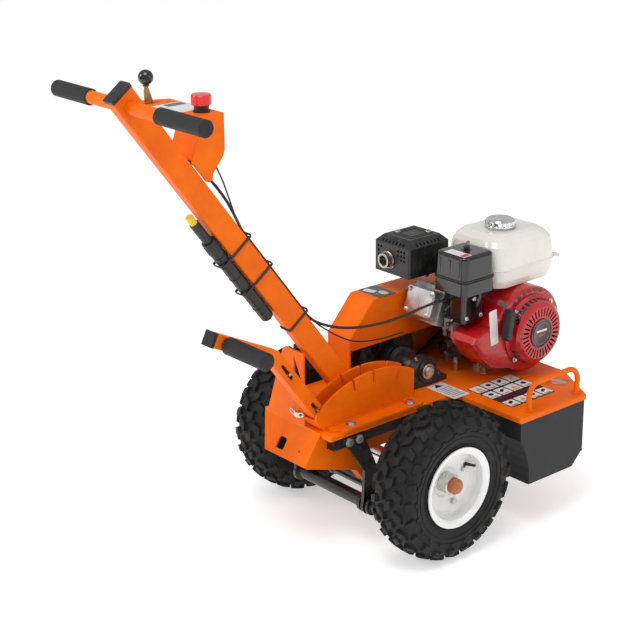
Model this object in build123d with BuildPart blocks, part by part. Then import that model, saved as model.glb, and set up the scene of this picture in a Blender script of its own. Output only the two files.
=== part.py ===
from build123d import *
import os
import math

os.makedirs("parts", exist_ok=True)

# ---------------------------------------------------------------------------
# Walk-behind stump grinder, about 200 cc engine.  Millimetres, +Z up.
# Local design coordinates: x forward from the wheel axle, y to the left,
# z up from the ground.  X0 moves the axle so that the origin of the finished
# part is the centre of its box on the ground.
# ---------------------------------------------------------------------------
X0 = 68.55

AXLE_Z = 170.0          # wheel axle height, and tyre radius
TYRE_R = 170.0
WHEEL_Y = 229.0         # wheel centre plane
RIM_R = 89.0            # rim flange radius
AXLE_R = 12.5

PIV_X, PIV_Z = -32.0, 114.0   # carriage pivot
BEND_X, BEND_Z = -295.0, 469.0  # bend of the lift lever
TIP_X, TIP_Z = -441.3, 541.2    # upper end of the lift lever
LEV_Y0, LEV_Y1 = -48.0, -18.0   # lift lever tube

DECK_Z = 277.0          # top of the deck
DECK_T = 5.0
LIP = 12.0

BEAM_Y0, BEAM_Y1 = -10.0, 20.0
JX, JZ = 156.0, 313.0   # jackshaft
CX, CZ = 315.0, 130.0   # cutter shaft
EX, EZ = 382.0, 383.0   # crankshaft
QUAD_R = 261.0          # quadrant rim radius about the carriage pivot

FIT = 0.05              # radial running fit

BEAM_D = (-0.602, 0.7985)     # up along the handle beam, in x and z
BEAM_N = (-0.7985, -0.602)    # out of its rear face


# placing helpers: planes in the design coordinates ---------------------------
def side(y):
    """Plane at y, normal towards -Y; local axes are x and z."""
    return Plane(origin=(X0, y, 0), x_dir=(1, 0, 0), z_dir=(0, -1, 0))


def flat(z):
    """Plane at z, normal +Z; local axes are x and y."""
    return Plane(origin=(X0, 0, z), x_dir=(1, 0, 0), z_dir=(0, 0, 1))


def front(x):
    """Plane at x, normal +X; local axes are y and z."""
    return Plane(origin=(X0 + x, 0, 0), x_dir=(0, 1, 0), z_dir=(1, 0, 0))


def spin(x, z):
    """Plane for profiles turned about a Y axis at x, z; local axes are y and radius."""
    return Plane(origin=(X0 + x, 0, z), x_dir=(0, 1, 0), z_dir=(1, 0, 0))


def y_axis(x, z):
    return Axis((X0 + x, 0, z), (0, 1, 0))


def ribbon(pts, w):
    """Outline of a bent strip of width w about a line of points."""
    def nrm(a, b):
        dx, dz = b[0] - a[0], b[1] - a[1]
        k = math.hypot(dx, dz)
        return (-dz / k, dx / k)
    left, right = [], []
    n = len(pts)
    for i, p in enumerate(pts):
        if i == 0:
            m, k = nrm(pts[0], pts[1]), 1.0
        elif i == n - 1:
            m, k = nrm(pts[-2], pts[-1]), 1.0
        else:
            a, b = nrm(pts[i - 1], p), nrm(p, pts[i + 1])
            m = (a[0] + b[0], a[1] + b[1])
            q = math.hypot(*m)
            m = (m[0] / q, m[1] / q)
            k = 1.0 / (m[0] * a[0] + m[1] * a[1])
        left.append((p[0] + m[0] * w / 2 * k, p[1] + m[1] * w / 2 * k))
        right.append((p[0] - m[0] * w / 2 * k, p[1] - m[1] * w / 2 * k))
    return left + right[::-1]


def beam_pt(s, off):
    """Point s up along the front face line of the beam, off behind it."""
    return (-61.0 + BEAM_D[0] * s + BEAM_N[0] * off, 365.0 + BEAM_D[1] * s + BEAM_N[1] * off)


def arc_pts(cx, cz, r, a0, a1, n):
    return [(cx + r * math.sin(math.radians(a0 + (a1 - a0) * i / n)),
             cz + r * math.cos(math.radians(a0 + (a1 - a0) * i / n))) for i in range(n + 1)]


def loop(x0, x1, y0, y1):
    return [(x0, y0), (x1, y0), (x1, y1), (x0, y1), (x0, y0)]


# ---------------------------------------------------------------------------
# Deck: a folded tray, open towards the ground, with slots for the lever and belts
# ---------------------------------------------------------------------------
DECK_OUT = [(-188, -90), (175, -90), (175, -287), (385, -287), (455, -160), (455, 130),
            (425, 190), (175, 190), (175, 166), (-116, 166), (-188, 124)]

with BuildPart() as deck_plate:
    with BuildSketch(flat(DECK_Z - LIP)) as deck_s:
        with BuildLine():
            Polyline(*DECK_OUT, close=True)
        make_face()
    extrude(amount=LIP)
    fillet(deck_plate.edges().filter_by(Axis.Z), radius=6)
    with BuildSketch(flat(DECK_Z - LIP)) as deck_in:
        with BuildLine():
            Polyline(*DECK_OUT, close=True)
        make_face()
        offset(amount=-4, kind=Kind.INTERSECTION, mode=Mode.REPLACE)
    extrude(amount=LIP - DECK_T, mode=Mode.SUBTRACT)
    with BuildSketch(flat(DECK_Z - LIP)):
        for (a, b, c, d) in ((-178, 42, -49.5, -16.5), (116, 252, 43, 79), (66, 286, 102, 148)):
            with Locations(((a + b) / 2, (c + d) / 2)):
                RectangleRounded(b - a, d - c, 5)
    extrude(amount=LIP, mode=Mode.SUBTRACT)
    fillet(deck_plate.faces().sort_by(Axis.Z)[-1].outer_wire().edges(), radius=2.5)
    # stiffener under the deck
    with BuildSketch(side(27)):
        with BuildLine():
            Polyline((-60, DECK_Z - DECK_T), (150, DECK_Z - DECK_T), (120, 226), (-40, 226), close=True)
        make_face()
    extrude(amount=5)
    # side apron between the right rail and the lever slot
    with BuildSketch(side(-56)):
        with BuildLine():
            Polyline((-104, DECK_Z - DECK_T), (64, DECK_Z - DECK_T), (58, 200), (-70, 200), close=True)
        make_face()
    extrude(amount=4)

# Chassis: rails under the deck, hanger plates, and the lower cross tube
with BuildPart() as chassis_rails:
    for (y0, y1, xr) in ((-86, -64, -176), (140, 162, -112)):
        with BuildSketch(side(y1)):
            with BuildLine():
                Polyline(*loop(xr, 168, 240, DECK_Z - DECK_T))
            make_face()
        extrude(amount=y1 - y0)
    for (y0, y1) in ((-94, -86), (132, 140)):
        with BuildSketch(side(y1)):
            with BuildLine():
                Polyline((-157, 263), (-101, 263), (-64, 181), (-14, 130), (-16, 96), (-66, 72),
                         (-98, 76), (-101, 95), (-96, 172), close=True)
            make_face()
            with Locations((PIV_X, PIV_Z)):
                Circle(24)
            with Locations((-81, 90)):
                Circle(22)
        extrude(amount=y1 - y0)
    with BuildSketch(spin(-81, 90)):
        with BuildLine():
            Polyline((-118, 0), (-118, 15), (-106, 15), (-106, 21), (-100, 21), (-100, 15),
                     (-80, 15), (-80, 21), (-72, 21), (-72, 15), (146, 15), (146, 0), close=True)
        make_face()
    revolve(axis=y_axis(-81, 90))
    # pivot shaft holes
    with BuildSketch(side(170)):
        with Locations((PIV_X, PIV_Z)):
            Circle(15)
    extrude(amount=300, mode=Mode.SUBTRACT)

with BuildPart() as pivot_shaft:
    with BuildSketch(spin(PIV_X, PIV_Z)):
        with BuildLine():
            Polyline((-104, 0), (-104, 13), (-102, 15), (148, 15), (150, 13), (150, 0), close=True)
        make_face()
    revolve(axis=y_axis(PIV_X, PIV_Z))

# Rear panel: upper plate that carries the beam, sloped lower plate and side cheek
with BuildPart() as rear_panel:
    with BuildSketch(front(-192)):
        with BuildLine():
            Polyline((-60, 272), (122, 272), (122, 281), (110, 285), (58, 434), (50, 440), (-10, 440),
                     (-10, 278), (-60, 278), close=True)
        make_face()
        with BuildLine():
            Polyline((22, 428), (22, 372), (-6, 372), close=True)
        make_face(mode=Mode.SUBTRACT)
        with Locations((-2, 330)):
            Circle(4, mode=Mode.SUBTRACT)
    extrude(amount=4)
    with BuildSketch(side(122)):
        with BuildLine():
            Polyline((-188, 272.5), (-192, 272.5), (-232.5, 209), (-229, 207), close=True)
        make_face()
    extrude(amount=182)
    with BuildSketch(front(-240)):
        with BuildLine():
            Polyline((132, 271.5), (122, 271.5), (72, 205), (72, 190), (140, 190), close=True)
        make_face()
    extrude(amount=70, mode=Mode.SUBTRACT)
    with BuildSketch(Plane(origin=(X0 - 210, 0, 239), x_dir=(0, 1, 0), z_dir=(-0.836, 0, 0.548))):
        with Locations((36, 10)):
            RectangleRounded(25, 27, 4)
        with Locations((-23, 11)):
            Circle(3)
    extrude(amount=12, both=True, mode=Mode.SUBTRACT)
    with BuildSketch(side(-57)):
        with BuildLine():
            Polyline((-230, 206.6), (-193.2, 264.9), (-128, 264.9), (-128, 250), (-66, 162), (-80, 159), close=True)
        make_face()
    extrude(amount=3)

# Two notched quadrant plates joined behind by a web, which is also the lever's stop
QUAD_RIM = arc_pts(PIV_X, PIV_Z, QUAD_R, -38.6, 25.66, 28)
SLOTS = (-13.8, -1.0, 15.6)
with BuildPart() as quadrant_plates:
    for (y0, y1) in ((-56, -50), (-16, -10)):
        with BuildSketch(side(y1)):
            with BuildLine():
                Polyline((-178, 277), (-198, 304), *QUAD_RIM, (81, 277), close=True)
            make_face()
            for a in SLOTS:
                r = QUAD_R - 11
                with Locations(Location((PIV_X + r * math.sin(math.radians(a)), PIV_Z + r * math.cos(math.radians(a)), 0),
                                        (0, 0, -a))):
                    SlotOverall(36, 6.4, rotation=90, mode=Mode.SUBTRACT)
        extrude(amount=y1 - y0)
    with BuildSketch(side(-10)):
        with BuildLine():
            Polyline((-173.5, 277), (-193.5, 304), (-198, 304), (-178, 277), close=True)
        make_face()
    extrude(amount=46)
    with BuildSketch(flat(277)):
        with BuildLine():
            Polyline((-150, -90), (-146, -93), (70, -93), (81, -86), (81, -50), (-170, -50), (-170, -70), close=True)
        make_face()
    extrude(amount=5)
    # inside bend radius of the flange
    with BuildSketch(side(-56)):
        with BuildLine():
            Polyline((-150, 282), (76, 282), (76, 284.5), (-150, 284.5), close=True)
        make_face()
    extrude(amount=2.5)

# ---------------------------------------------------------------------------
# Handle beam, cross bar and console
# ---------------------------------------------------------------------------
BAR_X, BAR_Z = -584.0, 1013.0
s_top = 861.0
b_front_top = beam_pt(s_top, 0)
b_rear_top = beam_pt(s_top, 50)
with BuildPart() as handle_beam:
    with BuildSketch(side(BEAM_Y1)):
        with BuildLine():
            Polyline((5.4, DECK_Z), b_front_top, b_rear_top, (-57.2, DECK_Z), close=True)
        make_face()
    extrude(amount=BEAM_Y1 - BEAM_Y0)
    fillet(handle_beam.edges().filter_by(lambda e: abs(e.length - 30) > 1 and e.length > 500), radius=4)
    i_ft, i_rt = beam_pt(s_top + 2, 3), beam_pt(s_top + 2, 47)
    k = (DECK_Z - 1 - 365.0) / BEAM_D[1]
    with BuildSketch(side(BEAM_Y1 - 3)):
        with BuildLine():
            Polyline((1.6, DECK_Z - 1), i_ft, i_rt, (-53.4, DECK_Z - 1), close=True)
        make_face()
    extrude(amount=BEAM_Y1 - BEAM_Y0 - 6, mode=Mode.SUBTRACT)
    with BuildSketch(side(60)):
        with Locations((BAR_X, BAR_Z)):
            Circle(12.5)
    extrude(amount=120, mode=Mode.SUBTRACT)
    # foot plate welded between beam and deck
    with BuildSketch(flat(DECK_Z)):
        with BuildLine():
            Polyline(*loop(2, 24, -10, 20))
        make_face()
    extrude(amount=5)

with BuildPart() as beam_end_cap:
    c0, c1, c2, c3 = beam_pt(s_top, -0.8), beam_pt(s_top + 7, -0.8), beam_pt(s_top + 7, 50.8), beam_pt(s_top, 50.8)
    with BuildSketch(side(BEAM_Y1 + 0.8)):
        with BuildLine():
            Polyline(c0, c1, c2, c3, close=True)
        make_face()
    extrude(amount=BEAM_Y1 - BEAM_Y0 + 1.6)
    fillet(beam_end_cap.edges().filter_by(lambda e: e.length < 8), radius=2.4)
    d0, d1, d2, d3 = beam_pt(s_top - 11, 3.1), beam_pt(s_top, 3.1), beam_pt(s_top, 46.9), beam_pt(s_top - 11, 46.9)
    with BuildSketch(side(BEAM_Y1 - 3.1)):
        with BuildLine():
            Polyline(d0, d1, d2, d3, close=True)
        make_face()
    extrude(amount=BEAM_Y1 - BEAM_Y0 - 6.2)

with BuildPart() as handlebar:
    with BuildSketch(Plane(origin=(X0 + BAR_X, 236, BAR_Z), x_dir=(1, 0, 0), z_dir=(0, -1, 0))):
        Circle(12.5)
        Circle(10, mode=Mode.SUBTRACT)
    extrude(amount=472)

with BuildPart() as handlebar_grips:
    for (ya, yb, s) in ((-100, -240, -1), (120, 240, 1)):
        with BuildSketch(spin(BAR_X, BAR_Z)):
            with BuildLine():
                Polyline((ya, 12.5), (ya, 14.5), (ya + s * 2, 16), (yb - s * 3, 16), (yb, 13), (yb, 0),
                         (yb - s * 4, 0), (yb - s * 4, 12.5), close=True)
            make_face()
        revolve(axis=y_axis(BAR_X, BAR_Z))

# console: top shelf, near cheek that stands on the beam, rear and front walls
CON_Z = 975.0
with BuildPart() as console:
    with BuildSketch(flat(CON_Z - 3)):
        with BuildLine():
            Polyline((-430, -13), (-379, -13), (-379, 162), (-432, 186), (-470, 186), (-470, 110), (-440, 40), close=True)
        make_face()
        with Locations((-405, 22)):
            Circle(11.2, mode=Mode.SUBTRACT)
        with Locations((-434, 152)):
            Rectangle(46, 9, mode=Mode.SUBTRACT)
        with Locations((-396, 140)):
            Circle(5, mode=Mode.SUBTRACT)
    extrude(amount=3)
    with BuildSketch(side(-10)):
        with BuildLine():
            Polyline((-430, CON_Z - 3), (-379, CON_Z - 3), (-379, 905), (-383, 893), (-408, 862), (-410, 851), (-417, 846),
                     (-426, 849.5), (-457, 890.8), close=True)
        make_face()
    extrude(amount=3)
    # rear wall, from the cheek towards the left
    with BuildSketch(side(60)):
        with BuildLine():
            Polyline((-430, CON_Z - 3), (-427, CON_Z - 3), (-453, 894), (-456, 894.5), close=True)
        make_face()
    extrude(amount=70)
    # front wall
    with BuildSketch(side(60)):
        with BuildLine():
            Polyline((-382, CON_Z - 3), (-379, CON_Z - 3), (-379, 905), (-382, 905), close=True)
        make_face()
    extrude(amount=70)
    # lever bracket under the shelf
    with BuildSketch(side(159)):
        with BuildLine():
            Polyline(*loop(-452, -416, 940, CON_Z - 3))
        make_face()
    extrude(amount=3)
    with BuildSketch(side(159)):
        with Locations((-434, 954)):
            Circle(4)
    extrude(amount=11)

with BuildPart() as throttle_lever:
    with BuildSketch(side(155.5)):
        with BuildLine():
            Polyline((-443, 944), (-425, 944), (-425, 974), (-432.5, 998), (-437, 1009), (-442, 1009), (-444, 998), (-443, 976), close=True)
        make_face()
        with Locations((-434, 954)):
            Circle(4.06, mode=Mode.SUBTRACT)
    extrude(amount=5)

KNOB = (-439.5, 153.0, 1026.0)
with BuildPart() as throttle_knob:
    with Locations((X0 + KNOB[0], KNOB[1], KNOB[2])):
        Sphere(15.2)
    with BuildSketch(Plane(origin=(X0 + KNOB[0], KNOB[1], 1009.05), x_dir=(1, 0, 0), z_dir=(0, 0, 1))):
        Circle(6.5)
    extrude(amount=8)

EST = (-405.0, 22.0)
with BuildPart() as estop_base:
    with BuildSketch(Plane(origin=(X0 + EST[0], EST[1], 0), x_dir=(1, 0, 0), z_dir=(0, -1, 0))):
        with BuildLine():
            Polyline((4.2, 946), (11, 946), (11, CON_Z - 3), (11, CON_Z), (16, CON_Z), (16, CON_Z + 3.5), (14.4, CON_Z + 4.5), (14.4, 987.5), (4.2, 987.5), close=True)
        make_face()
    revolve(axis=Axis((X0 + EST[0], EST[1], 0), (0, 0, 1)))

with BuildPart() as estop_button:
    with BuildSketch(Plane(origin=(X0 + EST[0], EST[1], 0), x_dir=(1, 0, 0), z_dir=(0, -1, 0))):
        with BuildLine():
            Polyline((0, 956), (4, 956), (4, 994), (15.2, 994), (15.2, 988.5), (18.5, 988.5), (19.5, 990), (19.5, 1006), (18, 1008.5), (0, 1009.5), close=True)
        make_face()
    revolve(axis=Axis((X0 + EST[0], EST[1], 0), (0, 0, 1)))

# ---------------------------------------------------------------------------
# Manual canister behind the beam, and straps round both
# ---------------------------------------------------------------------------
CAN_Y = 5.0


def can_plane(s):
    p = beam_pt(s, 50 + 14.6)
    return Plane(origin=(X0 + p[0], CAN_Y, p[1]), x_dir=(0, 1, 0), z_dir=(BEAM_D[0], 0, BEAM_D[1]))


with BuildPart() as manual_canister:
    with BuildSketch(can_plane(262)):
        Circle(13.5)
    extrude(amount=196)
    fillet(manual_canister.faces().sort_by(Axis.Z)[0].edges(), radius=6)
    with BuildSketch(can_plane(458)):
        Circle(12.4)
    extrude(amount=6)
    with BuildSketch(can_plane(464)):
        Circle(14.2)
    extrude(amount=36)
    with BuildSketch(can_plane(500)):
        Circle(10)
    extrude(amount=52)

with BuildPart() as canister_cap:
    with BuildSketch(can_plane(552.2)):
        Circle(8)
    extrude(amount=20)
    fillet(canister_cap.faces().sort_by(Axis.Z)[-1].edges(), radius=2)

STRAPS = ((200.0, 58.6), (349.0, 87.4), (435.0, 87.4))
with BuildPart() as cable_straps:
    for (s, depth) in STRAPS:
        mid = beam_pt(s + 4, depth / 2 - 7.7)
        with BuildSketch(Plane(origin=(X0 + mid[0], 5.0, mid[1]), x_dir=(0, 1, 0), z_dir=(BEAM_D[0], 0, BEAM_D[1]))):
            RectangleRounded(35.0, depth + 4.2, 6)
            RectangleRounded(30.8, depth, 2.5, mode=Mode.SUBTRACT)
        extrude(amount=5)

# ---------------------------------------------------------------------------
# Control cables: straight runs joined by large arcs
# ---------------------------------------------------------------------------
def cable_radii(pts):
    radii = []
    for i in range(1, len(pts) - 1):
        a, b, c = Vector(*pts[i - 1]), Vector(*pts[i]), Vector(*pts[i + 1])
        u, v = b - a, c - b
        t = math.radians(u.get_angle(v))
        radii.append(round(0.45 * min(u.length, v.length) / math.tan(t / 2), 3))
    return radii


def fp(s, off, y):
    p = beam_pt(s, -off)
    return (X0 + p[0], y, p[1])


THROTTLE_D = 6.0
THROTTLE_PTS = [
    (X0 - 430, 148, 935), (X0 - 424, 128, 905), (X0 - 408, 100, 880), (X0 - 386, 68, 856), (X0 - 367, 42, 824),
    (X0 - 352, 24, 792), (X0 - 342, 12, 762), fp(450, 4.4, 6.2), fp(413, 3.8, 4.6), fp(376, 3.8, 5.8), fp(340, 3.8, 4.6), fp(303, 3.8, 5.8),
    fp(268, 3.8, 4.8), fp(232, 4.2, 6.2), fp(194, 4.2, 5.2), fp(160, 9, 6), (X0 - 118, 4.5, 481), (X0 - 80, 2, 467), (X0 - 40, 0, 458), (X0 + 2, -2, 453),
    (X0 + 55, -4, 451), (X0 + 105, -7, 455), (X0 + 150, -12, 463), (X0 + 184, -20, 470), (X0 + 208, -28, 470),
]
WIRE_D = 3.4
WIRE_PTS = [
    (X0 - 403, 10, 940), (X0 - 400, 6, 905), (X0 - 392, 1, 872), (X0 - 378, -2, 840), (X0 - 368, -4, 808),
    (X0 - 358, -5.5, 778), fp(482, 2.6, -5.2), fp(446, 2.4, -6.6), fp(408, 2.4, -5.4), fp(370, 2.4, -6.6), fp(332, 2.4, -5.4), fp(296, 2.4, -6.6),
    fp(260, 2.4, -5.4), fp(224, 2.4, -6.4), fp(186, 2.6, -5), fp(150, 9, -3), (X0 - 96, 2, 456), (X0 - 50, 6, 429), (X0 - 6, 10, 415),
    (X0 + 40, 16, 407), (X0 + 86, 24, 401), (X0 + 130, 32, 398),
]


def cable_check(name, solid, pts, d, radii):
    total = 0.0
    for i in range(len(pts) - 1):
        total += (Vector(*pts[i + 1]) - Vector(*pts[i])).length
    for i, r in enumerate(radii):
        u = Vector(*pts[i + 1]) - Vector(*pts[i])
        v = Vector(*pts[i + 2]) - Vector(*pts[i + 1])
        t = math.radians(u.get_angle(v))
        total += r * t - 2 * r * math.tan(t / 2)
    want = total * math.pi * d * d / 4
    print(name, "length", round(total, 1), "volume", round(solid.volume, 1), "expected", round(want, 1),
          "radii", [round(r) for r in radii])


with BuildPart() as throttle_cable:
    with BuildLine() as tc_path:
        FilletPolyline(*THROTTLE_PTS, radius=cable_radii(THROTTLE_PTS))
    with BuildSketch(Plane(origin=tc_path.line @ 0, z_dir=tc_path.line % 0)):
        Circle(THROTTLE_D / 2)
    sweep()

with BuildPart() as stop_wire:
    with BuildLine() as sw_path:
        FilletPolyline(*WIRE_PTS, radius=cable_radii(WIRE_PTS))
    with BuildSketch(Plane(origin=sw_path.line @ 0, z_dir=sw_path.line % 0)):
        Circle(WIRE_D / 2)
    sweep()
cable_check("throttle_cable", throttle_cable.part, THROTTLE_PTS, THROTTLE_D, cable_radii(THROTTLE_PTS))
cable_check("stop_wire", stop_wire.part, WIRE_PTS, WIRE_D, cable_radii(WIRE_PTS))

# ---------------------------------------------------------------------------
# Carriage: crank arms, axle, lift lever with its grip and latch
# ---------------------------------------------------------------------------
with BuildPart() as crank_arms:
    for (y0, y1) in ((-76, -66), (66, 76)):
        with BuildSketch(side(y1)):
            with Locations((PIV_X, PIV_Z)):
                Circle(24)
            with Locations((0, AXLE_Z)):
                Circle(20)
            with BuildLine():
                Polyline(*ribbon([(PIV_X, PIV_Z), (0, AXLE_Z)], 40), close=True)
            make_face()
        extrude(amount=y1 - y0)
    with BuildSketch(side(80)):
        with Locations((PIV_X, PIV_Z)):
            Circle(22)
    extrude(amount=160)
    with BuildSketch(side(90)):
        with Locations((PIV_X, PIV_Z)):
            Circle(15 + FIT)
        with Locations((0, AXLE_Z)):
            Circle(AXLE_R)
    extrude(amount=180, mode=Mode.SUBTRACT)

with BuildPart() as axle:
    with BuildSketch(spin(0, AXLE_Z)):
        with BuildLine():
            Polyline((-270, 0), (-270, 10.5), (-268, 12.5), (-191, 12.5), (-191, 17), (-186, 17), (-186, 12.5),
                     (186, 12.5), (186, 17), (191, 17), (191, 12.5), (268, 12.5), (270, 10.5), (270, 0), close=True)
        make_face()
    revolve(axis=y_axis(0, AXLE_Z))

LEV_DIR = ((BEND_X - PIV_X), (BEND_Z - PIV_Z))
LEV_LEN = math.hypot(*LEV_DIR)
LEV_DIR = (LEV_DIR[0] / LEV_LEN, LEV_DIR[1] / LEV_LEN)


def lev(r, off=0.0):
    return (PIV_X + LEV_DIR[0] * r + LEV_DIR[1] * off, PIV_Z + LEV_DIR[1] * r - LEV_DIR[0] * off)


PEG_X, PEG_Z = -413.0, 525.5
with BuildPart() as lift_lever:
    with BuildSketch(side(LEV_Y1)):
        with BuildLine():
            Polyline(*ribbon([(PIV_X, PIV_Z), (BEND_X, BEND_Z), (TIP_X, TIP_Z)], 30), close=True)
        make_face()
    extrude(amount=30)
    fillet(lift_lever.edges().filter_by(lambda e: e.length > 60 and abs(e.length - 30) > 1), radius=3)
    with BuildSketch(side(LEV_Y1 - 3)):
        with BuildLine():
            Polyline(*ribbon([lev(40), (BEND_X, BEND_Z), (TIP_X - 9, TIP_Z + 4.5)], 24), close=True)
        make_face()
    extrude(amount=24, mode=Mode.SUBTRACT)
    # sleeve seat, cross pin windows, thumb pin window
    with BuildSketch(side(LEV_Y1 + 2)):
        with Locations((PIV_X, PIV_Z)):
            Circle(22)
    extrude(amount=34, mode=Mode.SUBTRACT)
    with BuildSketch(side(LEV_Y1 + 2)):
        with Locations(Location((*lev(272), 0), (0, 0, math.degrees(math.atan2(LEV_DIR[1], LEV_DIR[0]))))):
            SlotOverall(30, 8)
    extrude(amount=34, mode=Mode.SUBTRACT)
    with BuildSketch(side(LEV_Y0 + 3.5)):
        with Locations(Location((*lev(393), 0), (0, 0, math.degrees(math.atan2(LEV_DIR[1], LEV_DIR[0]))))):
            SlotOverall(46, 8)
    extrude(amount=5, mode=Mode.SUBTRACT)
    # grip peg
    with BuildSketch(side(LEV_Y0)):
        with Locations((PEG_X, PEG_Z)):
            Circle(10)
    extrude(amount=118)

with BuildPart() as latch_rod:
    with BuildSketch(Plane(origin=(X0 + lev(262)[0], -33, lev(262)[1]), x_dir=(0, 1, 0), z_dir=(LEV_DIR[0], 0, LEV_DIR[1]))):
        Circle(4)
    extrude(amount=142)
    with BuildSketch(side(-11)):
        with Locations(lev(266.5)):
            Circle(3)
    extrude(amount=46)
    with BuildSketch(side(-33)):
        with Locations(lev(388)):
            Circle(3)
    extrude(amount=21)

with BuildPart() as lever_grip:
    with BuildSketch(spin(PEG_X, PEG_Z)):
        with BuildLine():
            Polyline((-49.5, 10), (-49.5, 15), (-52, 18), (-170, 18), (-175, 14), (-175, 0), (-166, 0), (-166, 10), close=True)
        make_face()
    revolve(axis=y_axis(PEG_X, PEG_Z))
    # plug in the lever's upper end
    u = (TIP_X - BEND_X, TIP_Z - BEND_Z)
    ul = math.hypot(*u)
    u = (u[0] / ul, u[1] / ul)
    tips = [(TIP_X, TIP_Z), (TIP_X + u[0] * 8, TIP_Z + u[1] * 8)]
    with BuildSketch(side(LEV_Y1 + 0.5)):
        with BuildLine():
            Polyline(*ribbon(tips, 31), close=True)
        make_face()
    extrude(amount=31)
    tips = [(TIP_X - u[0] * 14, TIP_Z - u[1] * 14), (TIP_X, TIP_Z)]
    with BuildSketch(side(LEV_Y1 - 3.1)):
        with BuildLine():
            Polyline(*ribbon(tips, 23.8), close=True)
        make_face()
    extrude(amount=23.8)

# ---------------------------------------------------------------------------
# Wheels: y is measured outwards (w) from each wheel's centre plane
# ---------------------------------------------------------------------------
TYRE_SEC = [(44, 77), (47.5, 90), (55, 105), (58, 122), (57, 141), (51, 157), (40, 166.5), (22, 169.6), (0, 170),
            (-22, 169.6), (-40, 166.5), (-51, 157), (-57, 141), (-58, 122), (-55, 105), (-47.5, 90), (-44, 77),
            (-34, 77), (-38, 94), (-46, 108), (-48.5, 122), (-47.5, 138), (-42, 150), (-28, 157), (0, 159),
            (28, 157), (42, 150), (47.5, 138), (48.5, 122), (46, 108), (38, 94), (34, 77)]
RIM_SEC = [(52, 89), (49, 89), (46.5, 81), (44.5, 76.5), (-44.5, 76.5), (-46.5, 81), (-49, 89), (-52, 89), (-50.5, 79), (-47, 73.5),
           (16, 73.5), (14, 66), (6, 36), (3, 31), (3, 22.1), (7, 22.1), (7.5, 30), (10, 34), (18, 63), (23, 70), (28, 73.5), (47, 73.5), (50.5, 79)]
HUB_SEC = [(-36, AXLE_R + FIT), (-36, 20), (-34, 22), (34, 22), (36, 20), (36, 13.2), (46, 13.2), (46, 0), (50, 0), (52, 3),
           (50, 14), (38, 17.2), (36, 20)]


def wheel_pts(sec, s):
    return [(s * (WHEEL_Y + w), r) for (w, r) in sec]


def tyre_builder(s):
    with BuildPart() as p:
        with BuildSketch(spin(0, AXLE_Z)):
            with BuildLine():
                Polyline(*wheel_pts(TYRE_SEC, s), close=True)
            make_face()
        revolve(axis=y_axis(0, AXLE_Z))
    return p


def rim_builder(s):
    with BuildPart() as p:
        with BuildSketch(spin(0, AXLE_Z)):
            with BuildLine():
                Polyline(*wheel_pts(RIM_SEC, s), close=True)
            make_face()
        revolve(axis=y_axis(0, AXLE_Z))
        with BuildSketch(Plane(origin=(X0, s * (WHEEL_Y - 4), AXLE_Z), x_dir=(1, 0, 0), z_dir=(0, s, 0))):
            with PolarLocations(50, 4, start_angle=20):
                Circle(4)
        extrude(amount=40, mode=Mode.SUBTRACT)
    return p


def hub_builder(s):
    with BuildPart() as p:
        with BuildSketch(spin(0, AXLE_Z)):
            with BuildLine():
                Polyline((s * (WHEEL_Y - 33), AXLE_R + FIT), (s * (WHEEL_Y - 33), 20), (s * (WHEEL_Y - 31), 22),
                         (s * (WHEEL_Y + 32), 22), (s * (WHEEL_Y + 34), 20), (s * (WHEEL_Y + 34), AXLE_R + FIT), close=True)
            make_face()
        revolve(axis=y_axis(0, AXLE_Z))
        # press-on cap over the axle end
        with BuildSketch(spin(0, AXLE_Z)):
            with BuildLine():
                Polyline((s * (WHEEL_Y + 34), 14), (s * (WHEEL_Y + 34), 17), (s * (WHEEL_Y + 44), 17), (s * (WHEEL_Y + 48), 14),
                         (s * (WHEEL_Y + 50), 6), (s * (WHEEL_Y + 50), 0), (s * (WHEEL_Y + 43.5), 0), (s * (WHEEL_Y + 43.5), 14), close=True)
            make_face()
        revolve(axis=y_axis(0, AXLE_Z))
        # rim bolts
        with BuildSketch(Plane(origin=(X0, s * (WHEEL_Y + 16.6), AXLE_Z), x_dir=(1, 0, 0), z_dir=(0, s, 0))):
            with PolarLocations(50, 4, start_angle=20):
                RegularPolygon(6.5, 6)
        extrude(amount=5.5)
        with BuildSketch(Plane(origin=(X0, s * (WHEEL_Y + 1), AXLE_Z), x_dir=(1, 0, 0), z_dir=(0, s, 0))):
            with PolarLocations(50, 4, start_angle=20):
                Circle(3.9)
        extrude(amount=16)
    return p


tyre_right, tyre_left = tyre_builder(-1), tyre_builder(1)
rim_right, rim_left = rim_builder(-1), rim_builder(1)
hub_right, hub_left = hub_builder(-1), hub_builder(1)

# ---------------------------------------------------------------------------
# Rubber skirts round the cutter housing, and the front lifting handle
# ---------------------------------------------------------------------------
WHEEL_CLEAR = 178.0
full = math.radians(52.1)
ax_full = (PIV_X + 32 * math.cos(full) + 56 * math.sin(full), PIV_Z - 32 * math.sin(full) + 56 * math.cos(full))
rear_curve = []
for zz in (222, 205, 190, 170, 150, 130, 112):
    rear_curve.append((ax_full[0] + math.sqrt(WHEEL_CLEAR ** 2 - (zz - ax_full[1]) ** 2), zz))

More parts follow.
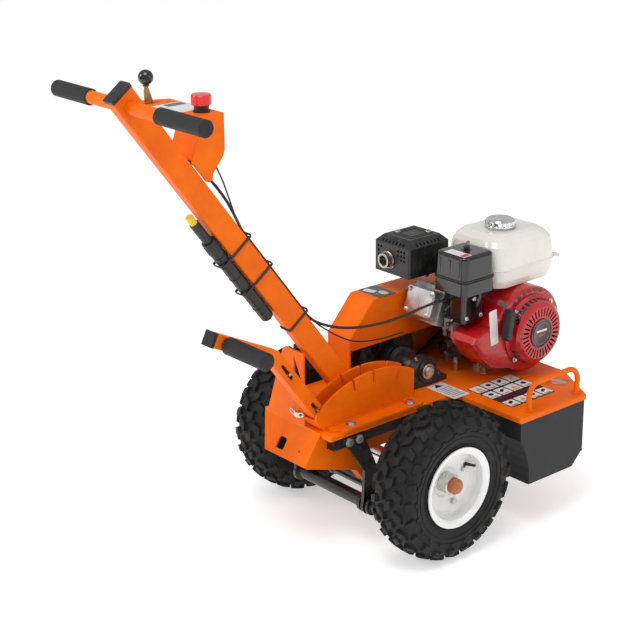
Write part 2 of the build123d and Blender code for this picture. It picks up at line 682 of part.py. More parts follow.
with BuildPart() as rubber_skirts:
    # front, corner and left panels hang inside the deck's lip
    with BuildSketch(flat(140)):
        with BuildLine():
            Polyline(*DECK_OUT, close=True)
        make_face()
        offset(amount=-4.1, kind=Kind.INTERSECTION, mode=Mode.REPLACE)
    extrude(amount=132)
    with BuildSketch(flat(139)):
        with BuildLine():
            Polyline(*DECK_OUT, close=True)
        make_face()
        offset(amount=-9.1, kind=Kind.INTERSECTION, mode=Mode.REPLACE)
    extrude(amount=134, mode=Mode.SUBTRACT)
    with BuildSketch(flat(139)):
        with BuildLine():
            Polyline(*loop(-200, 215, -300, 200))
        make_face()
        with BuildLine():
            Polyline(*loop(100, 380, -300, -250))
        make_face()
    extrude(amount=134, mode=Mode.SUBTRACT)
    # right side panel, longer than the others
    with BuildSketch(side(-277)):
        with BuildLine():
            Polyline((179, 272), *rear_curve, (350, 112), (378, 140), (380.5, 150), (380.5, 272), close=True)
        make_face()
    extrude(amount=5.9)
    # curved rear return behind the right wheel
    with BuildSketch(side(-168)):
        with BuildLine():
            Polyline((179, 272), *rear_curve, (rear_curve[-1][0] + 5, 112),
                     *[(x + 5, z) for (x, z) in rear_curve[::-1][1:]], (184, 272), close=True)
        make_face()
    extrude(amount=110)
    # rear curtain between the wheels
    with BuildSketch(front(173)):
        with BuildLine():
            Polyline((-164, 264), (-62, 264), (-62, 271.9), (20, 271.9), (38, 271.9), (38, 212), (160, 212), (160, 84), (-164, 84), close=True)
        make_face()
    extrude(amount=4)

with BuildPart() as lifting_handle:
    with BuildLine() as lh_path:
        FilletPolyline((X0 + 220, -268, DECK_Z + 1.5), (X0 + 216, -268, 338), (X0 + 376, -268, 340), (X0 + 371, -268, DECK_Z + 1.5), radius=30)
    with BuildSketch(Plane(origin=lh_path.line @ 0, z_dir=lh_path.line % 0)):
        Circle(6)
    sweep()
    with BuildSketch(flat(DECK_Z)):
        for xx in (220, 371):
            with Locations((xx, -268)):
                Circle(10)
    extrude(amount=3)

# ---------------------------------------------------------------------------
# Belt cover and drive
# ---------------------------------------------------------------------------
CV_Y0, CV_Y1 = 87.0, 164.0
with BuildPart() as belt_cover:
    with BuildSketch(side(CV_Y1)):
        with BuildLine():
            Polyline((21, DECK_Z), (21, 390), (90, 468), (440, 468), (440, DECK_Z), close=True)
        make_face()
    extrude(amount=CV_Y1 - CV_Y0)
    fillet(belt_cover.edges().filter_by(Axis.Y).sort_by(Axis.Z)[-3:], radius=5)
    fillet(belt_cover.faces().sort_by(Axis.Z)[-1].edges().filter_by(Axis.X), radius=4)
    with BuildSketch(side(CV_Y1 - 3)):
        with BuildLine():
            Polyline((24, DECK_Z - 1), (24, 388.9), (91.4, 465), (437, 465), (437, DECK_Z - 1), close=True)
        make_face()
    extrude(amount=CV_Y1 - CV_Y0 - 6, mode=Mode.SUBTRACT)
    with BuildSketch(side(CV_Y0 + 4)):
        with BuildLine():
            Polyline(*loop(24, 437, DECK_Z - 1, 362))
        make_face()
        with Locations((EX, EZ)):
            Circle(30)
    extrude(amount=8, mode=Mode.SUBTRACT)
    # access slot in the far wall's upper rear
    with BuildSketch(side(CV_Y1 + 2)):
        for i in range(5):
            with Locations((150 + 34 * i, 430)):
                SlotOverall(26, 6)
    extrude(amount=8, mode=Mode.SUBTRACT)

with BuildPart() as jackshaft:
    with BuildSketch(spin(JX, JZ)):
        with BuildLine():
            Polyline((-30, 0), (-30, 11), (-28.5, 12.5), (146, 12.5), (147.5, 11), (147.5, 0), close=True)
        make_face()
    revolve(axis=y_axis(JX, JZ))

BIG_R, ENG_R, SM_R = 84.0, 42.0, 33.0


def groove(y0, y1, r, depth, bore, hub_r=0):
    """Profile of a belt sheave: flat-bottomed groove of the belt's depth."""
    m = (y0 + y1) / 2
    g = 7.0
    return [(y0, bore), (y0, r), (m - g - 1.6, r), (m - g, r - depth), (m + g, r - depth), (m + g + 1.6, r), (y1, r), (y1, bore)]


with BuildPart() as jackshaft_pulleys:
    for (y0, y1, r) in ((113, 137, BIG_R), (50, 70, SM_R)):
        with BuildSketch(spin(JX, JZ)):
            with BuildLine():
                Polyline(*groove(y0, y1, r, 9, 12.5), close=True)
            make_face()
        revolve(axis=y_axis(JX, JZ))
    # spoke windows in the large sheave
    with BuildSketch(Plane(origin=(X0 + JX, 140, JZ), x_dir=(1, 0, 0), z_dir=(0, -1, 0))):
        with PolarLocations(44, 5):
            Circle(14)
    extrude(amount=30, mode=Mode.SUBTRACT)

with BuildPart() as engine_pulley:
    with BuildSketch(spin(EX, EZ)):
        with BuildLine():
            Polyline(*groove(113, 137, ENG_R, 9, 9.5), close=True)
        make_face()
    revolve(axis=y_axis(EX, EZ))
    with BuildSketch(Plane(origin=(X0 + EX, 113, EZ), x_dir=(1, 0, 0), z_dir=(0, -1, 0))):
        Circle(20)
        Circle(9.5, mode=Mode.SUBTRACT)
    extrude(amount=10)

with BuildPart() as cutter_sheave:
    with BuildSketch(spin(CX, CZ)):
        with BuildLine():
            Polyline(*groove(50, 70, SM_R, 9, 15), close=True)
        make_face()
    revolve(axis=y_axis(CX, CZ))


def belt_builder(c0, r0, c1, r1, ym):
    """Flat-sided belt loop that lies 0.5 mm off both groove bottoms."""
    with BuildPart() as p:
        with BuildSketch(side(ym + 6.3)):
            with BuildLine():
                Line(c0, c1)
            with Locations(c0):
                Circle(r0 + 0.5)
            with Locations(c1):
                Circle(r1 + 0.5)
            make_hull()
            offset(amount=8.5, mode=Mode.REPLACE)
            core = []
        extrude(amount=12.6)
        with BuildSketch(side(ym + 6.3)):
            with Locations(c0):
                Circle(r0 + 0.5)
            with Locations(c1):
                Circle(r1 + 0.5)
            make_hull()
        extrude(amount=12.6, mode=Mode.SUBTRACT)
    return p


drive_belt = belt_builder((JX, JZ), BIG_R - 9, (EX, EZ), ENG_R - 9, 125)
cutter_belt = belt_builder((JX, JZ), SM_R - 9, (CX, CZ), SM_R - 9, 60)

with BuildPart() as bearing_housings:
    # two pillow blocks on the deck
    for (y0, y1) in ((-18, 8), (80, 100)):
        with BuildSketch(side(y1)):
            with BuildLine():
                Polyline((93, DECK_Z), (219, DECK_Z), (219, 288), (212, 292), (196, 292), (186, 305), (126, 305),
                         (116, 292), (100, 292), (93, 288), close=True)
            make_face()
            with Locations((JX, JZ)):
                Circle(32)
            with Locations((JX, JZ)):
                Circle(12.5 + FIT, mode=Mode.SUBTRACT)
        extrude(amount=y1 - y0)
    # two flange bearings on the cutter hangers
    for (y0, y1) in ((-130, -118), (28, 40)):
        with BuildSketch(side(y1)):
            with Locations((CX, CZ)):
                Circle(30)
                Circle(15 + FIT, mode=Mode.SUBTRACT)
        extrude(amount=y1 - y0)

with BuildPart() as cutter_hangers:
    for (y0, y1) in ((-118, -110), (20, 28)):
        with BuildSketch(side(y1)):
            with BuildLine():
                Polyline((252, 272), (378, 272), (352, 118), (340, 98), (290, 98), (278, 118), close=True)
            make_face()
            with Locations((CX, CZ)):
                Circle(22, mode=Mode.SUBTRACT)
        extrude(amount=y1 - y0)

with BuildPart() as cutter_shaft:
    with BuildSketch(spin(CX, CZ)):
        with BuildLine():
            Polyline((-136, 0), (-136, 14), (-135, 15), (75, 15), (76, 14), (76, 0), close=True)
        make_face()
    revolve(axis=y_axis(CX, CZ))

TIP_R = 128.0
with BuildPart() as cutter_wheel:
    with BuildSketch(spin(CX, CZ)):
        with BuildLine():
            Polyline((-84, 15), (-84, 32), (-68, 34), (-68, 112), (-52, 112), (-52, 34), (-36, 32), (-36, 15), close=True)
        make_face()
    revolve(axis=y_axis(CX, CZ))
    with BuildSketch(Plane(origin=(X0 + CX, -52, CZ), x_dir=(1, 0, 0), z_dir=(0, -1, 0))):
        with PolarLocations(74, 6):
            Circle(12)
    extrude(amount=16, mode=Mode.SUBTRACT)

with BuildPart() as cutter_teeth:
    for (ytop, start) in ((-37, 15), (-68, 45)):
        with BuildSketch(Plane(origin=(X0 + CX, ytop, CZ), x_dir=(1, 0, 0), z_dir=(0, -1, 0))):
            with PolarLocations(TIP_R - 17, 6, start_angle=start):
                Rectangle(34, 14)
        extrude(amount=15)

# ---------------------------------------------------------------------------
# Engine
# ---------------------------------------------------------------------------
CYL = (-math.cos(math.radians(20)), math.sin(math.radians(20)))


def cyl_pt(a, b):
    """a along the cylinder from the crankshaft, b above its centre line."""
    return (EX + CYL[0] * a + CYL[1] * b, EZ + CYL[1] * a - CYL[0] * b)


def cyl_box(a0, a1, b0, b1):
    return [cyl_pt(a0, b0), cyl_pt(a1, b0), cyl_pt(a1, b1), cyl_pt(a0, b1)]


with BuildPart() as engine_block:
    with BuildSketch(side(84)):
        with BuildLine():
            Polyline((320, 290), (438, 290), (438, 312), (472, 345), (470, 430), (440, 470), (340, 470), (306, 440), (304, 345), (320, 320), close=True)
        make_face()
    extrude(amount=124)
    fillet(engine_block.edges().filter_by(Axis.Y), radius=5)
    with BuildSketch(flat(DECK_Z)):
        for yy in (-30, 74):
            with Locations((377, yy)):
                RectangleRounded(156, 24, 6)
    extrude(amount=14)
    # barrel and fins
    with BuildSketch(side(76)):
        with BuildLine():
            Polyline(*cyl_box(40, 165, -34, 34), close=True)
        make_face()
    extrude(amount=76)
    for i in range(7):
        a = 96 + i * 10
        with BuildSketch(side(86)):
            with BuildLine():
                Polyline(*cyl_box(a, a + 3.2, -44, 44), close=True)
            make_face()
        extrude(amount=95)
    # head
    with BuildSketch(side(84)):
        with BuildLine():
            Polyline(*cyl_box(165, 186, -42, 42), close=True)
        make_face()
    extrude(amount=92)
    # oil filler boss, low on the rear of the crankcase
    with BuildSketch(front(286)):
        with Locations((60, 318)):
            Circle(11)
    extrude(amount=20)
    # crankshaft bore
    with BuildSketch(side(100)):
        with Locations((EX, EZ)):
            Circle(9.5 + FIT)
    extrude(amount=160, mode=Mode.SUBTRACT)

with BuildPart() as valve_cover:
    with BuildSketch(side(80)):
        with BuildLine():
            Polyline(*cyl_box(186, 214, -34, 34), close=True)
        make_face()
    extrude(amount=84)
    fillet(valve_cover.edges().filter_by(lambda e: abs(e.length - 28) < 0.5), radius=12)
    fillet(valve_cover.faces().sort_by(Axis.X)[0].edges(), radius=6)

with BuildPart() as crankshaft:
    with BuildSketch(spin(EX, EZ)):
        with BuildLine():
            Polyline((-112, 0), (-112, 9.5), (-104, 9.5), (-104, 74), (-62, 74), (-62, 60), (-80, 58), (-84, 16), (-84, 9.5),
                     (157, 9.5), (158, 8.5), (158, 0), close=True)
        make_face()
    revolve(axis=y_axis(EX, EZ))

FAN_OUT = [(205, 388), (236, 345), (262, 320), (300, 299), (382, 283)]
with BuildPart() as fan_housing:
    with BuildSketch(side(-42)):
        with Locations((EX, EZ)):
            Circle(99)
        with BuildLine():
            Polyline((205, 388), (214, 372), (240, 340), (268, 316), (322, 303), (382, 383), (330, 466), (300, 456), (282, 430), (262, 414), (214, 401), close=True)
        make_face()
    extrude(amount=76)
    fillet(fan_housing.faces().sort_by(Axis.Y)[0].edges(), radius=9)
    with BuildSketch(side(-41)):
        with Locations((EX, EZ)):
            Circle(96)
        with BuildLine():
            Polyline((210, 388), (217, 374), (243, 343), (269, 319.5), (322, 306.5), (382, 383), (330, 462), (303, 453), (284.5, 427.5), (263, 411), (217, 398), close=True)
        make_face()
    extrude(amount=74, mode=Mode.SUBTRACT)
    with BuildSketch(side(-100)):
        with Locations((EX, EZ)):
            Circle(76)
    extrude(amount=30, mode=Mode.SUBTRACT)

with BuildPart() as recoil_cover:
    with BuildSketch(spin(EX, EZ)):
        with BuildLine():
            Polyline((-118, 76.5), (-118, 84), (-121, 84), (-124, 76), (-142, 72), (-148, 66), (-150, 60), (-150, 0),
                     (-146, 0), (-146, 58), (-143, 64), (-139, 68), (-121, 73.5), close=True)
        make_face()
    revolve(axis=y_axis(EX, EZ))
    with BuildSketch(Plane(origin=(X0 + EX, -144, EZ), x_dir=(1, 0, 0), z_dir=(0, -1, 0))):
        with PolarLocations(49, 32):
            SlotOverall(20, 4)
    extrude(amount=8, mode=Mode.SUBTRACT)
    # rope exit
    with BuildSketch(front(300)):
        with Locations((-135, 420)):
            Circle(6)
    extrude(amount=34, mode=Mode.SUBTRACT)

with BuildPart() as starter_grip:
    with BuildSketch(side(-146)):
        with Locations(Location((290, 420, 0), (0, 0, -8))):
            SlotOverall(72, 17, rotation=90)
    extrude(amount=-22)
    fillet(starter_grip.edges(), radius=4)
    with BuildSketch(front(296)):
        with Locations((-135, 420)):
            Circle(2)
    extrude(amount=128)

with BuildPart() as fuel_tank:
    for (z, cx, w, d, r) in ((484, 397, 186, 156, 34), (500, 397.5, 196, 166, 36), (524, 398, 202, 170, 38), (530, 398, 203, 171, 38),
                             (560, 397, 201, 169, 40), (577, 396, 194, 163, 40), (589, 394, 179, 149, 40), (597, 392, 158, 130, 38), (600, 391, 134, 108, 34)):
        with BuildSketch(flat(z)):
            with Locations((cx, -8)):
                RectangleRounded(w, d, r)
    loft(ruled=True)
    with BuildSketch(flat(599)):
        with Locations((383, -15)):
            Circle(26)
    extrude(amount=5)
    # feet on the block
    with BuildSketch(flat(470)):
        for yy in (-30, 60):
            with Locations((400, yy)):
                RectangleRounded(60, 16, 3)
    extrude(amount=16)

with BuildPart() as fuel_cap:
    with BuildSketch(Plane(origin=(X0 + 383, -15, 0), x_dir=(1, 0, 0), z_dir=(0, -1, 0))):
        with BuildLine():
            Polyline((0, 604.1), (34, 604.1), (36, 605.5), (36, 608), (33.5, 609.5), (33.5, 617), (30, 620.5), (0, 621.5), close=True)
        make_face()
    revolve(axis=Axis((X0 + 383, -15, 0), (0, 0, 1)))
    with BuildSketch(Plane(origin=(X0 + 383, -15, 609.6), x_dir=(1, 0, 0), z_dir=(0, 0, 1))):
        with PolarLocations(33.2, 10):
            Circle(2.2)
    extrude(amount=8)

MUF = (162.0, 285.0, 47.0, 161.0, 508.0, 592.0)
with BuildPart() as muffler_guard:
    with BuildSketch(flat(MUF[4])):
        with Locations(((MUF[0] + MUF[1]) / 2, (MUF[2] + MUF[3]) / 2)):
            Rectangle(MUF[1] - MUF[0], MUF[3] - MUF[2])
    extrude(amount=MUF[5] - MUF[4])
    chamfer(muffler_guard.faces().sort_by(Axis.Z)[-1].edges(), length=16)
    fillet(muffler_guard.edges().filter_by(Axis.Z), radius=5)
    with BuildSketch(flat(MUF[4] - 1)):
        with Locations(((MUF[0] + MUF[1]) / 2, (MUF[2] + MUF[3]) / 2)):
            RectangleRounded(MUF[1] - MUF[0] - 5, MUF[3] - MUF[2] - 5, 4)
    extrude(amount=MUF[5] - MUF[4] - 16, mode=Mode.SUBTRACT)
    # round window for the outlet
    with BuildSketch(front(MUF[0] - 3)):
        with Locations((116, 540)):
            Circle(21)
    extrude(amount=10, mode=Mode.SUBTRACT)
    # louvres in the rear chamfer, and a patch of small holes by the outlet
    with BuildSketch(front(MUF[0] + 9)):
        for i in range(7):
            with Locations((72 + 11 * i, 584)):
                Rectangle(4.6, 12)
    extrude(amount=-20, mode=Mode.SUBTRACT)
    with BuildSketch(front(MUF[0] - 3)):
        for (yy, zz) in ((148, 566), (148, 556), (139, 566), (148, 546), (84, 566), (74, 566), (64, 566), (84, 556), (74, 556), (64, 556), (74, 546), (64, 546)):
            with Locations((yy, zz)):
                Circle(3)
    extrude(amount=10, mode=Mode.SUBTRACT)
    # louvres in the top chamfers
    with BuildSketch(side(MUF[2] + 9)):
        for i in range(7):
            with Locations((190 + 11 * i, 584)):
                Rectangle(4, 12)
    extrude(amount=20, mode=Mode.SUBTRACT)

with BuildPart() as muffler:
    with BuildSketch(side(150)):
        with Locations((226, 540)):
            RectangleRounded(100, 56, 20)
    extrude(amount=92)
    with BuildSketch(front(146)):
        with Locations((116, 540)):
            Circle(17)
            Circle(12, mode=Mode.SUBTRACT)
    extrude(amount=36)
    # header down to the cylinder head
    with BuildSketch(flat(499)):
        with Locations((226, 70)):
            Circle(14)
    extrude(amount=20)

with BuildPart() as air_cleaner:
    with BuildSketch(flat(492)):
        with Locations((243, -43)):
            RectangleRounded(98, 98, 13)
    with BuildSketch(flat(582)):
        with Locations((243, -43)):
            RectangleRounded(94, 94, 15)
    loft()
    fillet(air_cleaner.faces().sort_by(Axis.Z)[-1].edges(), radius=9)
    with BuildSketch(flat(424)):
        with Locations((240, -54)):
            RectangleRounded(62, 46, 8)
    extrude(amount=68)
    # cover knob
    with BuildSketch(flat(582)):
        with Locations((250, -42)):
            Circle(7)
    extrude(amount=7)
    with BuildSketch(flat(588)):
        with Locations((250, -42)):
            SlotOverall(36, 7, rotation=30)
    extrude(amount=8)

with BuildPart() as carburettor:
    with BuildSketch(flat(398)):
        with Locations((232, -27)):
            Rectangle(40, 26)
    extrude(amount=26)
    with BuildSketch(flat(380)):
        with Locations((230, -27)):
            Circle(12.5)
    extrude(amount=18)
    # intake stub into the head
    with BuildSketch(side(-9.1)):
        with Locations((232, 411)):
            Circle(9)
    extrude(amount=5.5)
    # lever spindles, pointing to the rear
    with BuildSketch(front(203)):
        with Locations((-34, 416), (-24, 404)):
            Circle(2.5)
    extrude(amount=9)

with BuildPart() as choke_lever:
    with BuildSketch(front(203)):
        with Locations((-34, 416)):
            Circle(5)
            Circle(2.56, mode=Mode.SUBTRACT)
        with Locations((-43, 421)):
            Circle(4)
        with BuildLine():
            Polyline(*ribbon([(-36.4, 417.4), (-43, 421)], 6), close=True)
        make_face()
        with Locations((-34, 416)):
            Circle(2.56, mode=Mode.SUBTRACT)
    extrude(amount=4)

with BuildPart() as fuel_valve_lever:
    with BuildSketch(front(203)):
        with Locations((-24, 404)):
            Circle(5)
        with Locations((-24, 390)):
            Circle(4)
        with BuildLine():
            Polyline(*ribbon([(-24, 401), (-24, 390)], 6), close=True)
        make_face()
        with Locations((-24, 404)):
            Circle(2.56, mode=Mode.SUBTRACT)
    extrude(amount=4)

# ---------------------------------------------------------------------------
# Visible fasteners: hex heads on washers, wing bolt, air cleaner wing nut
# ---------------------------------------------------------------------------
with BuildPart() as fasteners:
    # quadrant flange bolts and deck bolts, upright
    tops = [(-118, -74, 282, 7.6), (52, -74, 282, 7.6), (108, -5, 292, 5.1), (204, -5, 292, 5.1), (108, 90, 292, 5.1), (204, 90, 292, 5.1),
            (308, -30, 291, 5), (447.5, -30, 291, 5), (308, 74, 291, 5), (447.5, 74, 291, 5)]
    for (x, y, z, r) in tops:
        with BuildSketch(flat(z)):
            with Locations((x, y)):
                Circle(r * 1.5)
        extrude(amount=1.6)
        with BuildSketch(flat(z + 1.6)):
            with Locations((x, y)):
                RegularPolygon(r, 6)
        extrude(amount=r * 0.75)
    # hanger bolts, horizontal
    for (x, z) in ((-112, 253), (-140, 253)):
        with BuildSketch(side(-94)):
            with Locations((x, z)):
                Circle(10)
        extrude(amount=1.6)
        with BuildSketch(side(-95.6)):
            with Locations((x, z)):
                RegularPolygon(7, 6)
        extrude(amount=5)
    # wing bolt on the rear panel
    with BuildSketch(front(-192)):
        with Locations((3, 302)):
            Circle(6)
    extrude(amount=-10)
    with BuildSketch(front(-199)):
        with Locations((14, 305)):
            SlotOverall(24, 10, rotation=20)
        with Locations((-8, 305)):
            SlotOverall(24, 10, rotation=-20)
        with Locations((17, 306)):
            SlotOverall(14, 5, rotation=20, mode=Mode.SUBTRACT)
        with Locations((-11, 306)):
            SlotOverall(14, 5, rotation=-20, mode=Mode.SUBTRACT)
    extrude(amount=-3)
    # engine stud beside the crankcase
    with BuildSketch(flat(DECK_Z)):
        with Locations((272, 7)):
            Circle(7)
    extrude(amount=24)
    with BuildSketch(flat(DECK_Z + 24)):
        with Locations((272, 7)):
            RegularPolygon(5, 6)
    extrude(amount=8)

# ---------------------------------------------------------------------------
# Write every node
# ---------------------------------------------------------------------------
NODES = {
    "deck_plate": deck_plate, "chassis_rails": chassis_rails, "pivot_shaft": pivot_shaft, "rear_panel": rear_panel,
    "quadrant_plates": quadrant_plates, "handle_beam": handle_beam, "beam_end_cap": beam_end_cap, "handlebar": handlebar,
    "handlebar_grips": handlebar_grips, "console": console, "throttle_lever": throttle_lever, "throttle_knob": throttle_knob,
    "estop_base": estop_base, "estop_button": estop_button, "manual_canister": manual_canister, "canister_cap": canister_cap,
    "cable_straps": cable_straps, "throttle_cable": throttle_cable, "stop_wire": stop_wire, "crank_arms": crank_arms,
    "axle": axle, "lift_lever": lift_lever, "latch_rod": latch_rod, "lever_grip": lever_grip,
    "tyre_right": tyre_right, "tyre_left": tyre_left, "rim_right": rim_right, "rim_left": rim_left,
    "hub_right": hub_right, "hub_left": hub_left, "rubber_skirts": rubber_skirts, "lifting_handle": lifting_handle,
    "belt_cover": belt_cover, "jackshaft": jackshaft, "jackshaft_pulleys": jackshaft_pulleys, "engine_pulley": engine_pulley,
    "cutter_sheave": cutter_sheave, "drive_belt": drive_belt, "cutter_belt": cutter_belt, "bearing_housings": bearing_housings,
    "cutter_hangers": cutter_hangers, "cutter_shaft": cutter_shaft, "cutter_wheel": cutter_wheel, "cutter_teeth": cutter_teeth,
    "engine_block": engine_block, "valve_cover": valve_cover, "crankshaft": crankshaft, "fan_housing": fan_housing,
    "recoil_cover": recoil_cover, "starter_grip": starter_grip, "fuel_tank": fuel_tank, "fuel_cap": fuel_cap,
    "muffler_guard": muffler_guard, "muffler": muffler, "air_cleaner": air_cleaner, "carburettor": carburettor,
    "choke_lever": choke_lever, "fuel_valve_lever": fuel_valve_lever, "fasteners": fasteners,
}
lo, hi = [1e9] * 3, [-1e9] * 3
for name, piece in NODES.items():
    piece.part.label = name
    export_step(piece.part, f"parts/{name}.step")
    bb = piece.part.bounding_box()
    for i, (a, b) in enumerate(((bb.min.X, bb.max.X), (bb.min.Y, bb.max.Y), (bb.min.Z, bb.max.Z))):
        lo[i], hi[i] = min(lo[i], a), max(hi[i], b)
print("nodes", len(NODES), "box", [round(v, 2) for v in lo], [round(v, 2) for v in hi])
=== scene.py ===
import bpy, bmesh, math, random
from mathutils import Vector, Matrix


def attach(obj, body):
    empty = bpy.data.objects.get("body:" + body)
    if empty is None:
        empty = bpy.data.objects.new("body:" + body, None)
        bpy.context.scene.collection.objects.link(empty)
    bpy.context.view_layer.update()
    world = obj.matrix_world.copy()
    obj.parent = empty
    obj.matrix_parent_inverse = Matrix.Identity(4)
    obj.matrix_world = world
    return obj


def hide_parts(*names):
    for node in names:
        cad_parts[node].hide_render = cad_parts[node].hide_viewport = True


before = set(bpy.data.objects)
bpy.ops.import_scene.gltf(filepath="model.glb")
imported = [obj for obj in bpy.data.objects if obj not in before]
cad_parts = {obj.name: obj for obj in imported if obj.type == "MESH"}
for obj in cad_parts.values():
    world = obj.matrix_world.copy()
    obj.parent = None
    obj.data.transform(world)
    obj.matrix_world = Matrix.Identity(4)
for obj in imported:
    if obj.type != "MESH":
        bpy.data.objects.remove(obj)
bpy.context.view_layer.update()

X0 = 68.55
rnd = random.Random(7)


def P(x, y, z):
    return Vector(((x + X0) / 1000.0, y / 1000.0, z / 1000.0))


# ------------------------------------------------------------------ materials
def M(name, c1, c2, rough=0.4, rvar=0.1, metal=0.0, coat=0.0, scale=30.0, bump=0.15, bscale=500.0, dist=0.0003,
      bevel=0.0012, grime=None, gscale=9.0, gpos=0.62, stretch=None, voronoi=False, spec=0.5):
    m = bpy.data.materials.new(name)
    m.use_nodes = True
    nt = m.node_tree
    N, L = nt.nodes, nt.links
    bs = N["Principled BSDF"]
    bs.inputs["Metallic"].default_value = metal
    bs.inputs["Specular IOR Level"].default_value = spec
    if coat:
        bs.inputs["Coat Weight"].default_value = coat
        bs.inputs["Coat Roughness"].default_value = 0.08
    tc = N.new("ShaderNodeTexCoord")
    src = tc.outputs["Object"]
    if stretch:
        mp = N.new("ShaderNodeMapping")
        mp.inputs["Scale"].default_value = stretch
        L.new(src, mp.inputs["Vector"])
        src = mp.outputs["Vector"]
    n1 = N.new("ShaderNodeTexNoise")
    n1.inputs["Scale"].default_value = scale
    n1.inputs["Detail"].default_value = 6
    n1.inputs["Roughness"].default_value = 0.6
    L.new(src, n1.inputs["Vector"])
    cr = N.new("ShaderNodeValToRGB")
    cr.color_ramp.elements[0].position = 0.36
    cr.color_ramp.elements[1].position = 0.66
    cr.color_ramp.elements[0].color = (*c1, 1)
    cr.color_ramp.elements[1].color = (*c2, 1)
    L.new(n1.outputs["Fac"], cr.inputs["Fac"])
    col = cr.outputs["Color"]
    if grime:
        n3 = N.new("ShaderNodeTexNoise")
        n3.inputs["Scale"].default_value = gscale
        n3.inputs["Detail"].default_value = 9
        L.new(tc.outputs["Object"], n3.inputs["Vector"])
        r3 = N.new("ShaderNodeValToRGB")
        r3.color_ramp.elements[0].position = gpos
        r3.color_ramp.elements[1].position = gpos + 0.22
        L.new(n3.outputs["Fac"], r3.inputs["Fac"])
        mx = N.new("ShaderNodeMixRGB")
        mx.inputs[2].default_value = (*grime, 1)
        L.new(r3.outputs["Color"], mx.inputs[0])
        L.new(col, mx.inputs[1])
        col = mx.outputs[0]
    L.new(col, bs.inputs["Base Color"])
    mr = N.new("ShaderNodeMapRange")
    mr.inputs["From Min"].default_value = 0.3
    mr.inputs["From Max"].default_value = 0.7
    mr.inputs["To Min"].default_value = max(0.03, rough - rvar)
    mr.inputs["To Max"].default_value = min(1.0, rough + rvar)
    L.new(n1.outputs["Fac"], mr.inputs["Value"])
    L.new(mr.outputs["Result"], bs.inputs["Roughness"])
    if voronoi:
        n2 = N.new("ShaderNodeTexVoronoi")
        out = n2.outputs["Distance"]
    else:
        n2 = N.new("ShaderNodeTexNoise")
        n2.inputs["Detail"].default_value = 3
        out = n2.outputs["Fac"]
    n2.inputs["Scale"].default_value = bscale
    L.new(src, n2.inputs["Vector"])
    bp = N.new("ShaderNodeBump")
    bp.inputs["Strength"].default_value = bump
    bp.inputs["Distance"].default_value = dist
    L.new(out, bp.inputs["Height"])
    if bevel:
        bv = N.new("ShaderNodeBevel")
        bv.samples = 4
        bv.inputs["Radius"].default_value = bevel
        L.new(bv.outputs["Normal"], bp.inputs["Normal"])
    L.new(bp.outputs["Normal"], bs.inputs["Normal"])
    return m


ORANGE = M("orange_coat", (0.80, 0.125, 0.0008), (0.90, 0.160, 0.0012), 0.42, 0.07, coat=0.0, spec=0.14, scale=14, bump=0.35, bscale=230,
           dist=0.00035, bevel=0.0016, grime=(0.62, 0.085, 0.0008), gscale=6, gpos=0.66)
ORANGE_WELD = M("orange_weld", (0.66, 0.105, 0.001), (0.84, 0.15, 0.002), 0.40, 0.1, coat=0.0, spec=0.15, scale=60, bump=1.0, bscale=190, dist=0.002, bevel=0)
FOAM = M("foam_black", (0.006, 0.006, 0.007), (0.02, 0.02, 0.021), 0.72, 0.12, scale=90, bump=0.6, bscale=900, dist=0.0006, voronoi=True)
PLASTIC = M("plastic_black", (0.007, 0.007, 0.008), (0.016, 0.016, 0.017), 0.42, 0.1, scale=60, bump=0.35, bscale=1400, dist=0.0002)
GLOSSB = M("gloss_black_mould", (0.004, 0.004, 0.004), (0.01, 0.01, 0.011), 0.14, 0.05, coat=0.5, scale=25, bump=0.08, bscale=300)
SATINB = M("satin_black_heat", (0.008, 0.008, 0.009), (0.03, 0.029, 0.027), 0.38, 0.12, scale=35, bump=0.35, bscale=500, grime=(0.05, 0.045, 0.04), gscale=20)
SKIRT = M("skirt_rubber", (0.015, 0.0155, 0.017), (0.026, 0.027, 0.029), 0.52, 0.12, spec=0.3, scale=9, bump=0.4, bscale=420, dist=0.0004, grime=(0.055, 0.053, 0.05), gscale=5, gpos=0.62)
TYRE = M("tyre_rubber", (0.006, 0.006, 0.0065), (0.016, 0.0158, 0.0155), 0.62, 0.14, spec=0.28, scale=40, bump=0.6, bscale=600, dist=0.0007, bevel=0.0015, grime=(0.055, 0.050, 0.043), gscale=26, gpos=0.60)
RIMW = M("rim_white", (0.80, 0.80, 0.79), (0.88, 0.88, 0.87), 0.24, 0.07, coat=0.5, scale=16, bump=0.12, bscale=200, grime=(0.55, 0.50, 0.43), gscale=14, gpos=0.68)
ZINC = M("zinc_plate", (0.46, 0.45, 0.42), (0.72, 0.71, 0.68), 0.30, 0.1, metal=1, scale=70, bump=0.2, bscale=800, bevel=0.0007)
STEEL = M("steel_ground", (0.32, 0.32, 0.33), (0.58, 0.58, 0.59), 0.30, 0.1, metal=1, scale=30, bump=0.3, bscale=420, stretch=(1, 8, 1))
BRONZE = M("lever_bronze", (0.30, 0.17, 0.07), (0.50, 0.31, 0.14), 0.33, 0.1, metal=1, scale=40, bump=0.25, bscale=500)
BRASS = M("brass_fit", (0.55, 0.36, 0.10), (0.75, 0.53, 0.18), 0.28, 0.1, metal=1, scale=60, bump=0.2, bscale=700)
COPPER = M("bearing_collar", (0.55, 0.33, 0.26), (0.76, 0.52, 0.44), 0.30, 0.1, metal=1, scale=60, bump=0.2, bscale=700)
IRON = M("pulley_iron_m", (0.05, 0.05, 0.052), (0.15, 0.15, 0.155), 0.45, 0.12, metal=0.9, scale=50, bump=0.4, bscale=500)
BLOCKB = M("bearing_enamel", (0.006, 0.006, 0.007), (0.022, 0.022, 0.023), 0.36, 0.12, scale=40, bump=0.6, bscale=350, dist=0.0008)
